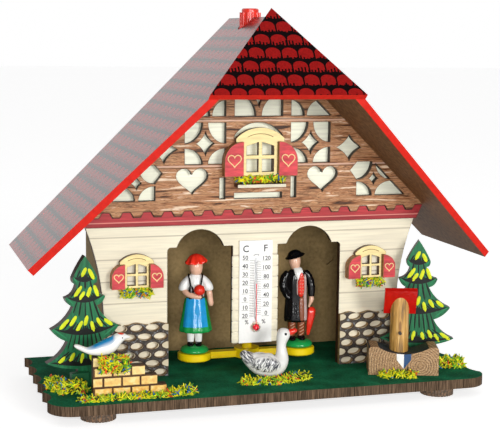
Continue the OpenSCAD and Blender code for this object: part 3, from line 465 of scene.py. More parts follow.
def printed_walnut(paints):
    """Ply with a printed walnut grain: streaks along X, pale and dark, two rails drawn as scoring with painted
    shade and painted highlight, and charred edges.
    """
    # Each rail is a dark line beside a pale one: the dark lines are the scoring and a painted shadow of the
    # rail's edge, the pale ones a painted highlight on it
    rails = ((115.3, 0.22, "3a2015"), (114.6, 0.32, "dcb8a4"), (95.9, 0.4, "dcb8a4"), (95.2, 0.2, "4a2a1a"))

    def face(add, point):
        colour, _ = mottle(add, point, (20, 4, 1.3), [
            (0.36, shade(paints.fret, 0.12)), (0.42, shade(paints.fret, 0.8)), (0.47, linear("c48f66")),
            (0.5, shade(paints.fret, 0.38)), (0.55, linear("ca996e")), (0.59, paints.fret),
            (0.65, linear("ead2b6"))], Roughness=0.6, Distortion=0.5)
        height = add("SeparateXYZ", point).outputs["Z"]
        for z, half, tone in rails:
            off = add("Math.ABSOLUTE", add("Math.SUBTRACT", height, z))
            line = add("MapRange", off, 0.6 * half, half, 0.75, 0.0)
            colour = add("Mix.RGBA", line, colour, linear(tone))
        return colour

    return cut_board("ply_walnut_print", face, shade(paints.burnt, 0.55), 0.5, 0.7)


def tile_print(paints, sizes, name, outward, across, down, top, slope, gloss, painted_glare):
    """Roof board with a glossy tile print: red domes with black gaps and brushed streaks, brown underneath.

    `across` and `down` are the axes that run along and below the ridge, `top` is where the rows start,
    `slope` is the rows' run for each millimetre of `down`, `gloss` its shine, and `painted_glare` how much
    lighter its red and its black gaps are drawn: a painted reflection of the glare on the side roofs.
    """
    dome_w, columns = 0.9, 10.0    # a dome's share of its tile, and the brushed columns on a tile
    material, add, shader, point, normal = begin(name, {"IOR": 1.5})
    axes = add("SeparateXYZ", point).outputs
    fall = add("Math.ABSOLUTE", add("Math.SUBTRACT", axes[down], top))
    run = add("Math.MULTIPLY", fall, slope / (sizes.tile_h / MM))
    row, below = add("Math.FLOOR", run), add("Math.FRACT", run)
    odd = add("Math.MODULO", row, 2.0)
    tile = add("Math.MULTIPLY_ADD", axes[across], MM / sizes.tile_w, add("Math.MULTIPLY_ADD", odd, 0.5, 0.5))
    beside = add("Math.SUBTRACT", add("Math.FRACT", tile), 0.5)
    share = add("Math.MULTIPLY", add("Math.ABSOLUTE", beside), 2 / dome_w)
    left_over = add("Math.SUBTRACT", 1.0, add("Math.POWER", share, 2.0), use_clamp=True)
    brow = add("Math.MULTIPLY_ADD", add("Math.POWER", left_over, 0.5), -0.36, 0.4)
    dome = add("Math.MULTIPLY", add("Math.GREATER_THAN", below, brow), add("Math.LESS_THAN", share, 1.0))
    cell = add("Math.FLOOR", add("Math.MULTIPLY", tile, columns))
    chance = add("TexWhiteNoise", add("CombineXYZ", cell, row), noise_dimensions="2D")
    leg = add("Math.MULTIPLY_ADD", chance, 0.12, 0.76)
    streak = add("Math.MULTIPLY_ADD", chance, 0.24, add("Math.MULTIPLY_ADD", odd, 0.15, 0.46))
    streaked = add("Math.MODULO", add("Math.ABSOLUTE", cell), 2.0)
    above_end = add("Math.LESS_THAN", below, add("Mix.FLOAT", streaked, leg, streak))
    red = add("Math.MULTIPLY", dome, above_end)
    # painted_glare lightens the red and greys the black gaps: a painted reflection, which the side roofs get and
    # the hip doesn't
    tint, _ = mottle(add, point, 0.7, [
        (0.35, shade(paints.tile, 0.85 * painted_glare)), (0.65, shade(paints.tile, 1.12 * painted_glare))], 2.0)
    printed = add("Mix.RGBA", red, shade(paints.tile_gap, painted_glare ** 3), tint)
    facing = add("VectorMath.DOT_PRODUCT", normal, outward)
    on_top, beneath = add("Math.GREATER_THAN", facing, 0.9), add("Math.LESS_THAN", facing, -0.9)
    brown, fibre = mottle(add, point, 1.8, [(0.35, linear("69492e")), (0.65, linear("8a6340"))])
    rim = add("ValToRGB", fibre, stops=[
        (0.35, shade(paints.roof_edge, 0.9)), (0.65, shade(paints.roof_edge, 1.05))])
    join(shader, {"Base Color": add("Mix.RGBA", beneath, add("Mix.RGBA", on_top, rim, printed), brown),
                  "Roughness": add("Math.MULTIPLY_ADD", on_top, -0.35, 0.55),
                  "Specular IOR Level": add("Math.MULTIPLY_ADD", on_top, gloss, 0.1)})
    return material


def flocked_ply(paints):
    """Ply under green flock: velvety and mottled on top, scorched with upright saw marks at the edges."""
    material, add, shader, point, normal = begin(
        "ply_green_flock", {"Roughness": 0.9, "Specular IOR Level": 0.1})
    on_top = add("Math.GREATER_THAN", add("SeparateXYZ", normal).outputs["Z"], 0.6)
    # the flock's pile is finer than 0.9 mm and is drawn coarser, so that it shows
    pile = add("TexNoise", {"Vector": point, "Scale": 1 / 0.9, "Detail": 4.0, "Roughness": 0.7})
    patch = add("TexNoise", {"Vector": point, "Scale": 1 / 9, "Detail": 2.0})
    green = add("ValToRGB", add("Math.MULTIPLY", add("Math.ADD", pile, patch), 0.5), stops=[
        (0.36, shade(paints.flock, 0.55)), (0.5, paints.flock), (0.64, shade(paints.flock, 1.7))])
    wood, _ = mottle(add, point, (0.4, 0.4, 9), [
        (0.36, shade(paints.edge, 0.42)), (0.5, paints.edge), (0.64, shade(paints.edge, 1.75))])
    bump = add("Bump", {"Height": pile, "Strength": 0.5, "Distance": 0.4 * MM})
    join(shader, {"Base Color": add("Mix.RGBA", on_top, wood, green), "Normal": bump})
    return material


def charred_beech(paints):
    """Beech feet: brown, with darker end grain and scorched ribs."""
    return mottled("beech_scorched", {"Roughness": 0.6}, 0.9, [
        (0.34, shade(paints.edge, 0.5)), (0.52, shade(paints.edge, 1.3)), (0.7, linear("9a7350"))], 4.0)


def painted_ply(name, colour, burnt, roughness=0.45, spread=0.16, rim=0.0):
    """Thin ply with a brushed coat: even colour with faint brush marks, and scorched cut edges."""
    def face(add, point):
        return mottle(add, point, (6, 3, 1.2), [
            (0.32, shade(colour, 1 - spread)), (0.66, shade(colour, 1 + spread))], 3.0)[0]

    return cut_board(name, face, burnt, roughness, rim)


def brick_ply(paints):
    """Sandy ply bricks: warm yellow that pales towards the top course, with burnt joints and edges."""
    low, high = box_mm("brick_wall")
    tall = high.z - low.z
    course, brick, first_head = tall / 4, 7.4, 0.25

    def face(add, point):
        axes = add("SeparateXYZ", point).outputs
        rise = add("Math.SUBTRACT", axes["Z"], low.z)
        warm, blotch = mottle(add, point, 2.2, [
            (0.36, linear("dd9a38")), (0.5, paints.brick), (0.64, linear("fbe29a"))])
        pale = add("Mix.RGBA", add("Math.MULTIPLY", rise, 1 / tall), warm, linear("fae2a0"))
        bed = add("Math.PINGPONG", rise, course / 2)
        row = add("Math.FLOOR", add("Math.MULTIPLY", rise, 1 / course))
        odd = add("Math.MULTIPLY_ADD", add("Math.MODULO", row, 2.0), brick / 2, -low.x - first_head)
        head = add("Math.PINGPONG", add("Math.ADD", axes["X"], odd), brick / 2)
        wavy = add("Math.MULTIPLY_ADD", blotch, -0.5, add("Math.MINIMUM", bed, head))
        return add("Mix.RGBA", add("MapRange", wavy, 0.05, 0.3, 1.0, 0.0), pale, linear("5c3a1e"))

    return cut_board("ply_sand_bricks", face, paints.burnt, 0.5)


# Finishes of the garden, the figures and the mechanism

def enamel(name, colour, roughness=0.16, spread=0.08, shine=0.5):
    """Glossy enamel on a small moulded figure: wet shine, slight pooling in the colour."""
    material, add, shader, point, _ = begin(name, {"Roughness": roughness, "Specular IOR Level": shine})
    tone, _ = mottle(add, point, 2.5, [
        (0.35, shade(colour, 1 - spread)), (0.65, shade(colour, 1 + spread))], 2.0)
    skin = add("TexNoise", {"Vector": point, "Scale": 1 / 1.4, "Detail": 1.0})
    bump = add("Bump", {"Height": skin, "Strength": 0.3, "Distance": 0.3 * MM})
    join(shader, {"Base Color": tone, "Normal": bump})
    return material


def moulded_plastic(name, colour):
    """Injection-moulded polystyrene: even colour, shiny, with a faint ripple."""
    return mottled(name, {"Roughness": 0.28, "IOR": 1.58}, 5,
                   [(0.35, shade(colour, 0.94)), (0.65, shade(colour, 1.05))], lift=0.08)


def goose_enamel(paints):
    """White enamel goose with dry-brushed dark feathers on its wings and its tail."""
    low = box_mm("goose")[0]
    wing, tail = (9.2, 7.1, 6.6, 3.4, -62), (1.4, 10.4, 3.8, 3.5, 50)    # X, Z, half sizes and slant
    barb_size = (2.4, 4, 0.5)
    material, add, shader, point, _ = begin("enamel_goose", {"Roughness": 0.3})
    colour = shade(paints.white, 0.93)
    for x, z, half_w, half_h, slant in (wing, tail):
        away = from_oval(add, point, (low.x + x, 0, low.z + z), (half_w, 0, half_h))
        barb_at = add("Mapping", {"Vector": point, "Rotation": (0, math.radians(slant), 0), "Scale": barb_size},
                      vector_type="TEXTURE")
        barb = add("TexNoise", {"Vector": barb_at, "Scale": 1.0, "Detail": 3.0, "Distortion": 0.9})
        mask = add("MapRange", away, 0.75, 1.0, 1.0, 0.0)
        feather = add("Math.MULTIPLY", mask, add("MapRange", barb, 0.44, 0.55))
        colour = add("Mix.RGBA", feather, colour, linear("3d3d46"))
    join(shader, {"Base Color": colour})
    return material


def bird_enamel(paints):
    """White enamel bird with an airbrushed blue back and a red crown."""
    low, high = box_mm("bird")
    crown_at = (low.x + 18.4, (low.y + high.y) / 2, high.z - 0.1)
    material, add, shader, point, normal = begin("enamel_bird", {"Roughness": 0.25, "Coat Weight": 0.4})
    along = add("SeparateXYZ", point).outputs["X"]
    back = add("MapRange", add("SeparateXYZ", normal).outputs["Z"], 0.15, 0.7)
    behind = add("MapRange", along, low.x + 4, low.x + 8)
    before = add("MapRange", along, low.x + 16.2, low.x + 15)
    blue = add("Math.MULTIPLY", add("Math.MULTIPLY", behind, before), back)
    coat = add("Mix.RGBA", blue, paints.white, shade(paints.blue, 0.8))
    crown = add("MapRange", add("VectorMath.DISTANCE", point, crown_at), 1.5, 1.2)
    join(shader, {"Base Color": add("Mix.RGBA", crown, coat, paints.red)})
    return material


def fir_paint(paints, burnt):
    """Green gouache on ply: brushed light and dark, with a scorched brown edge."""
    def face(add, point):
        return mottle(add, point, (1.3, 3, 9), [
            (0.32, shade(paints.fir, 0.62)), (0.5, paints.fir), (0.7, shade(paints.fir, 1.35))], 3.0)[0]

    return cut_board("ply_fir_green", face, shade(burnt, 0.9), 0.42)


def hewn_log(paints):
    """Sawn softwood trough: rings and saw marks in brown and grey, the dip painted blue-black."""
    low, high = box_mm("well_trough")
    middle = (low + high) / 2
    pith = (middle.x + 5, 0, middle.z - 2)
    material, add, shader, point, normal = begin("pine_hewn", {"Roughness": 0.65})
    ring_at = add("Mapping", {"Vector": point, "Location": [-c for c in pith], "Scale": (1, 0.2, 1)})
    rings = add("TexWave", {"Vector": ring_at, "Scale": 0.3, "Distortion": 4.0, "Detail": 3.0},
                wave_type="RINGS", rings_direction="Y")
    speck = add("TexNoise", {"Vector": point, "Scale": 1 / 0.45, "Detail": 4.0, "Roughness": 0.7})
    both = add("Mix.FLOAT", 0.86, rings.outputs["Fac"], speck)
    wood = add("ValToRGB", both, stops=[
        (0.34, linear("48372a")), (0.45, shade(paints.trough, 0.72)), (0.55, paints.trough),
        (0.66, linear("d4b48c"))])
    faces_up = add("Math.GREATER_THAN", add("SeparateXYZ", normal).outputs["Z"], 0.3)
    lower = add("Math.LESS_THAN", add("SeparateXYZ", point).outputs["Z"], high.z - 0.2)
    colour = add("Mix.RGBA", add("Math.MULTIPLY", faces_up, lower), wood, linear("232c36"))
    bump = add("Bump", {"Height": both, "Strength": 0.5, "Distance": 0.4 * MM})
    join(shader, {"Base Color": colour, "Normal": bump})
    return material


def peeled_twig(paints):
    """Peeled and varnished hazel: golden, long dark fibres and an orange scar above the spout."""
    low, high = box_mm("well_post")
    scar_at, scar_half = ((low.x + high.x) / 2 - 1.2, low.y, low.z + 15.2), (0.7, 3.0, 2.6)
    material, add, shader, point, _ = begin("hazel_peeled", {"Roughness": 0.42, "Coat Weight": 0.2})
    wood, fibre = mottle(add, point, (0.9, 0.9, 11), [
        (0.32, shade(paints.twig, 0.26)), (0.45, shade(paints.twig, 0.72)), (0.56, paints.twig),
        (0.68, linear("efcf8c"))], 5.0, Distortion=0.6)
    scar = add("MapRange", from_oval(add, point, scar_at, scar_half), 0.7, 1.05, 1.0, 0.0)
    bump = add("Bump", {"Height": fibre, "Strength": 0.3, "Distance": 0.3 * MM})
    join(shader, {"Base Color": add("Mix.RGBA", scar, wood, linear("8f6228")), "Normal": bump})
    return material


def clear_glass():
    """Thin blown glass: clear, with a hard shine and a faint grey that drifts along the tube.

    The solid stands for a hollow tube, so its IOR is near that of air.
    """
    return mottled("glass_tube", {"Roughness": 0.02, "IOR": 1.03, "Transmission Weight": 1.0}, 6,
                   [(0.3, linear("f8f8f8")), (0.7, linear("fdfdfd"))], 1.0)


def spun_metal(name, colour, roughness):
    """Turned brass or drawn steel wire: shiny, with fine grooves across it."""
    return mottled(name, {"Metallic": 1.0, "Roughness": roughness}, (20, 20, 0.3),
                   [(0.3, shade(colour, 0.8)), (0.7, shade(colour, 1.1))])


def twisted_gut(colour):
    """Twisted gut: waxy, with a slanting twist line."""
    material, add, shader, point, _ = begin("gut_twisted", {"Roughness": 0.4, "Subsurface Weight": 0.1})
    twist = add("TexWave", {"Vector": point, "Scale": 0.5, "Distortion": 1.0}, bands_direction="DIAGONAL")
    tone = add("ValToRGB", twist.outputs["Fac"], stops=[(0.2, shade(colour, 0.7)), (0.8, colour)])
    join(shader, {"Base Color": tone})
    return material


def dyed_fibre(name, colour):
    """Dyed wood wool: matt curls whose colour runs from strand to strand."""
    return mottled(name, {"Roughness": 0.6}, 1.4, [(0.32, shade(colour, 0.7)), (0.66, shade(colour, 1.3))])


# Operators

class WEATHER_HOUSE_OT_stage(bpy.types.Operator):
    """Sets up the camera, the lamps, the backdrop and the floor"""
    bl_idname = "weather_house.stage"
    bl_label = "Stage"

    def execute(self, context):
        scene = context.scene
        scene.view_settings.view_transform = "Standard"
        self.camera(scene)
        self.backdrop(scene)
        self.floor(scene)
        self.lamp(scene, "key", (0.35, -1.2, 0.28), 0.4, 7.7)
        self.lamp(scene, "fill", (-0.35, -1.2, 0.22), 0.4, 5.7)
        return {"FINISHED"}

    def camera(self, scene):
        """A camera at the photograph's angle, fitted to the house's straight edges."""
        yaw, pitch, roll = (math.radians(a) for a in (16.865, 7.758, 0.622))
        ahead = Vector((math.sin(yaw) * math.cos(pitch), math.cos(yaw) * math.cos(pitch), -math.sin(pitch)))
        data = bpy.data.cameras.new("camera")
        data.sensor_width = 36
        data.lens = 92.94
        data.clip_start = 0.01
        data.clip_end = 50
        seat = bpy.data.objects.new("camera", data)
        seat.rotation_mode = "QUATERNION"
        seat.rotation_quaternion = ahead.to_track_quat("-Z", "Y") @ Matrix.Rotation(roll, 3, "Z").to_quaternion()
        seat.location = Vector((-158.94, -515.86, 148.23)) * MM
        scene.collection.objects.link(seat)
        scene.camera = seat

    def backdrop(self, scene):
        """White to the camera, through glass and behind the object in mirrors; dimmer as a light."""
        world = bpy.data.worlds.new("studio")
        scene.world = world
        world.use_nodes = True
        add = partial(add_node, world.node_tree)
        path = add("LightPath").outputs
        direct = add("Math.MAXIMUM", path["Is Camera Ray"], path["Is Transmission Ray"])
        way = add("SeparateXYZ", add("TexCoord").outputs["Generated"]).outputs["Y"]
        mirror = add("Math.MULTIPLY", path["Is Glossy Ray"], add("MapRange", way, -0.2, 0.6, 0.08, 1.0))
        seen = add("Math.MAXIMUM", direct, mirror)
        power = add("Mix.FLOAT", path["Is Glossy Ray"], add("Math.MAXIMUM", seen, 0.33), seen)
        join(world.node_tree.nodes["Background"], {"Color": (1, 1, 1), "Strength": power})

    def floor(self, scene):
        """White paper that glows for rays from the camera, from mirrors and through glass."""
        bm = bmesh.new()
        bmesh.ops.create_grid(bm, x_segments=1, y_segments=1, size=6)
        mesh = bpy.data.meshes.new("floor")
        bm.to_mesh(mesh)
        bm.free()
        floor = bpy.data.objects.new("floor", mesh)
        scene.collection.objects.link(floor)
        material, add, shader, _, _ = begin("paper_white", {
            "Base Color": (0.86, 0.86, 0.86), "Roughness": 0.9, "Emission Color": (1, 1, 1)})
        path = add("LightPath").outputs
        direct = add("Math.MAXIMUM", path["Is Camera Ray"], path["Is Glossy Ray"])
        seen = add("Math.MAXIMUM", direct, path["Is Transmission Ray"])
        join(shader, {"Emission Strength": add("MapRange", seen, 0.0, 1.0, 0.0, 0.66)})
        mesh.materials.append(material)

    def lamp(self, scene, name, at, width, power):
        """A round soft lamp that is aimed at the house, in metres and watts."""
        target = Vector((0, 0, 0.07))
        data = bpy.data.lights.new(name, "AREA")
        data.shape = "DISK"
        data.size = width
        data.energy = power
        lamp = bpy.data.objects.new(name, data)
        lamp.location = at
        lamp.rotation_mode = "QUATERNION"
        lamp.rotation_quaternion = (target - lamp.location).to_track_quat("-Z", "Y")
        scene.collection.objects.link(lamp)


class WEATHER_HOUSE_OT_house(bpy.types.Operator):
    """Finishes the walls, the roof, the gable and the base board"""
    bl_idname = "weather_house.house"
    bl_label = "House"

    def execute(self, context):
        paints, sizes = context.scene.house_paints, context.scene.house_sizes
        dress("base_board", flocked_ply(paints))
        dress("feet", charred_beech(paints))
        dress("front_wall", limewood(paints, sizes))
        brown = hardboard(paints)
        for node in ("left_side_wall", "right_side_wall", "back_wall"):
            dress(node, brown)
        plinth = stone_print(paints)
        for node in ("left_plinth", "right_plinth"):
            dress(node, plinth)
        dress("eave_band", stained_band(paints))
        dress("gable_fretwork", printed_walnut(paints))
        self.roof(paints, sizes)
        beech = painted_ply("beech_block", linear("c9a46c"), paints.burnt)
        for node in ("ridge_block", "post_guide"):
            dress(node, beech)
        self.quoins(paints, sizes)
        return {"FINISHED"}

    def roof(self, paints, sizes):
        apex = box_mm("hip_roof")[1].z
        # The side roofs' prints get painted_glare 1.6, a painted reflection of the glare; the hip's is 1.0, its
        # own colour
        for node, across, down, top, gloss, painted_glare in (
                ("left_roof", "Y", "X", 0.0, 0.42, 1.6), ("right_roof", "Y", "X", 0.0, 0.42, 1.6),
                ("hip_roof", "X", "Z", apex, 0.1, 1.0)):
            outward = self.outer_normal(node)
            slope = 1 / math.sqrt(1 - getattr(outward, down.lower()) ** 2)
            dress(node, tile_print(paints, sizes, f"tile_print_{node}", outward, across, down, top, slope,
                                   gloss, painted_glare))

    def outer_normal(self, node):
        """Normal of a board's largest face that looks up."""
        shares = {}
        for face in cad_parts[node].data.polygons:
            if face.normal.z > 0.1:
                key = tuple(round(c, 3) for c in face.normal)
                shares[key] = shares.get(key, 0) + face.area
        return Vector(max(shares, key=shares.get)).normalized()

    def quoins(self, paints, sizes):
        """Rounded bricks that edge the pier beside the scale plate."""
        plate_low, plate_high = box_mm("thermometer_plate")
        pier_half, shoulder_z = 9.9, 61.6
        bulge, proud, sunk = 0.3, 0.4, 0.8    # beyond the pier's side, before its front and into it
        lap, joint, rounding = 0.4, 0.1, 0.3
        height = sizes.quoin_h / MM
        bm = bmesh.new()
        for side in (-1, 1):
            start, end = sorted((side * (plate_high.x - lap), side * (pier_half + bulge)))
            for i in range(int((shoulder_z - plate_low.z) // height)):
                z = plate_low.z + i * height
                block(bm, (start, -proud, z + joint), (end, sunk, z + height - joint), rounding)
        finish = painted_ply("basswood_quoins", paints.cream, paints.cream, 0.6, 0.07)
        piece(bm, "pier_quoins", "house", [finish])


class WEATHER_HOUSE_OT_windows(bpy.types.Operator):
    """Paints the windows and the shutters and draws their hearts and lintel lines"""
    bl_idname = "weather_house.windows"
    bl_label = "Windows"

    def execute(self, context):
        paints = context.scene.house_paints
        yellow = painted_ply("ply_window_cream", paints.window, shade(paints.burnt, 2.2), 0.45, 0.1, 0.4)
        red = painted_ply("ply_shutter_red", paints.shutter, linear("9a6a40"), 0.5, 0.26, 0.45)
        heart_paint = painted_ply("gouache_cream", linear("f8d89c"), linear("f8d89c"), 0.5, 0.06)
        score = painted_ply("scored_line", linear("8a6a3c"), linear("6a4c28"), 0.7, 0.1)
        bare = painted_ply("ply_sill_bare", shade(paints.cream, 0.85), shade(paints.burnt, 2.2), 0.5, 0.1, 0.3)
        dress("gable_sill", bare)
        hearts, lines = [], []
        for name in ("gable", "left", "right"):
            window, shutters = f"{name}_window", f"{name}_shutters"
            dress(window, yellow)
            dress(shutters, red)
            self.decorate(window, shutters, hearts, lines)
        settle(wires(hearts, 0.24, corners=1), "shutter_hearts", "house", [heart_paint])
        settle(wires(lines, 0.13), "lintel_lines", "house", [score])
        return {"FINISHED"}

    def decorate(self, window, shutters, hearts, lines):
        """Adds a heart for each shutter and an arc under the lintel."""
        low, high = box_mm(window)
        leaf_low, leaf_high = box_mm(shutters)
        middle = (low.x + high.x) / 2
        unit = (high.x - low.x) / 1.4
        leaf_mid = (leaf_high.x - middle + unit / 2) / 2
        heart_z = leaf_low.z + 0.47 * (leaf_high.z - leaf_low.z)
        heart_half, steps = 0.38 * unit / 2, 28
        for side in (-1, 1):
            points = []
            for i in range(steps):
                t = math.tau * i / steps
                x = math.sin(t) ** 3
                z = (13 * math.cos(t) - 5 * math.cos(2 * t) - 2 * math.cos(3 * t) - math.cos(4 * t)) / 16
                points.append((middle + side * leaf_mid + heart_half * x, leaf_low.y, heart_z + heart_half * z))
            hearts.append((points, 0, True))
        arc_r = 0.79 * unit
        arc_mid = high.z - 0.96 * unit
        turns = [math.radians(a) for a in range(-28, 29, 4)]
        arc = [(middle + arc_r * math.sin(a), low.y, arc_mid + arc_r * math.cos(a)) for a in turns]
        lines.append((arc, 0, False))


class WEATHER_HOUSE_OT_thermometer(bpy.types.Operator):
    """Finishes the thermometer and prints its scale"""
    bl_idname = "weather_house.thermometer"
    bl_label = "Thermometer"

    def execute(self, context):
        paints = context.scene.garden_paints
        dress("thermometer_plate", enamel("plate_white", shade(paints.white, 1.04), 0.35, 0.01))
        dress("thermometer_tube", clear_glass())
        self.column(paints)
        self.print_scale(paints)
        self.clip()
        return {"FINISHED"}

    def column(self, paints):
        """The spirit: a bulb with a hair-thin column above it, as the glass shows it."""
        low, high = box_mm("thermometer_liquid")
        bulb_r, hair_r = (high.x - low.x) / 2, 0.16
        arc = [math.radians(a) for a in range(-90, 71, 20)]
        profile = [(bulb_r * math.cos(a), bulb_r + bulb_r * math.sin(a)) for a in arc]
        tall = high.z - low.z
        bm = bmesh.new()
        turn_on_lathe(bm, [(0, 0), *profile[1:], (hair_r, 2 * bulb_r), (hair_r, tall), (0, tall + 0.1)], 24)
        middle = (low + high) / 2
        piece(bm, "thermometer_spirit", "house", [enamel("spirit_red", paints.spirit, 0.15, 0.02)],
              ["thermometer_liquid"], place=shift(middle.x, middle.y, low.z))

    def clip(self):
        """The wire staple that holds the top of the tube."""
        face = box_mm("thermometer_plate")[0].y
        top, half, proud, foot = 57.7, 1.0, 1.5, 0.3
        bend = [(1.0, face + foot, top - 0.5), (1.0, face - 0.6 * proud, top), (0.5, face - proud, top + 0.4)]
        path = [(-share * half, y, z) for share, y, z in bend]
        path += [(-x, y, z) for x, y, z in reversed(path)]
        settle(wires([(path, 0, False)], 0.15, corners=1), "thermometer_clip", "house",
               [spun_metal("steel_wire", linear("a8a9ab"), 0.35)])

    def print_scale(self, paints):
        """Both scales with their figures and ticks, the marks beside them and the band behind the spirit."""
        face = box_mm("thermometer_plate")[0].y
        thick, long_half, short_half = 0.03, 0.06, 0.075
        band_half, band_low, band_high, mark_z = 0.5, 30, 56.4, 28.7
        left = {"figures": ("50", "40", "30", "20", "10", "0", "10", "20"), "x": -4.75,
                "top": 55.3, "step": 3.57, "ends": (-6.2, -3.2), "minor": (-2.8, -0.7)}
        right = {"figures": ("120", "100", "80", "60", "40", "20", "0"), "x": 4.6,
                 "top": 54.9, "step": 3.95, "ends": (2.6, 6.0), "minor": (0.4, 2.4)}
        bm = bmesh.new()
        for scale in (left, right):
            last = len(scale["figures"]) - 1
            for i, figure in enumerate(scale["figures"]):
                z = scale["top"] - i * scale["step"]
                self.letter(bm, figure, 2.2, (scale["x"], face, z + 1.15))
                ticks = [(scale["ends"], z, long_half)]
                if i < last:
                    ticks += [(scale["minor"], z - j * scale["step"] / 5, short_half) for j in range(5)]
                for (start, end), at, half in ticks:
                    block(bm, (start, face - thick, at - half), (end, face + thick, at + half))
        for text, size, x, z in (("C", 3.5, -4.5, 60.2), ("F", 3.5, 4.2, 60.3),
                                 ("%", 2.2, -3.9, mark_z), ("%", 2.2, 3.6, mark_z)):
            self.letter(bm, text, size, (x, face, z))
        block(bm, (-band_half, face - thick / 2, band_low), (band_half, face + thick, band_high), finish=1)
        ink = painted_ply("scale_ink", paints.ink, paints.ink, 0.5, 0.05)
        grey = painted_ply("capillary_grey", linear("d9d9d9"), linear("d9d9d9"), 0.4, 0.04)
        piece(bm, "thermometer_scale", "house", [ink, grey])

    def letter(self, bm, text, size, at):
        """Prints a figure or a letter flat on the plate, its middle at a point."""
        curve = bpy.data.curves.new("figure", "FONT")
        curve.body = text
        curve.size = size * 1.15
        curve.align_x = "CENTER"
        curve.align_y = "CENTER"
        curve.extrude = 0.03
        curve.offset = 0.015 * size
        curve.resolution_u = 3
        mesh = made_mesh(curve)
        mesh.transform(Matrix.Translation(at) @ turned(90, "X"))
        bm.from_mesh(mesh)


class WEATHER_HOUSE_OT_mechanism(bpy.types.Operator):
    """Finishes the beam, the string and the knob"""
    bl_idname = "weather_house.mechanism"
    bl_label = "Mechanism"

    def execute(self, context):
        paints = context.scene.garden_paints
        dress("weather_beam", moulded_plastic("polystyrene_yellow", paints.beam))
        knob = moulded_plastic("polystyrene_red", linear("e8301e"))
        for node in ("adjusting_knob", "knob_cap"):
            dress(node, knob)
        gut = twisted_gut(linear("dcc9a0"))
        for node in ("gut_string", "string_knot"):
            dress(node, gut)
        dress("string_ferrule", spun_metal("brass_turned", linear("d9b25c"), 0.3))
        return {"FINISHED"}


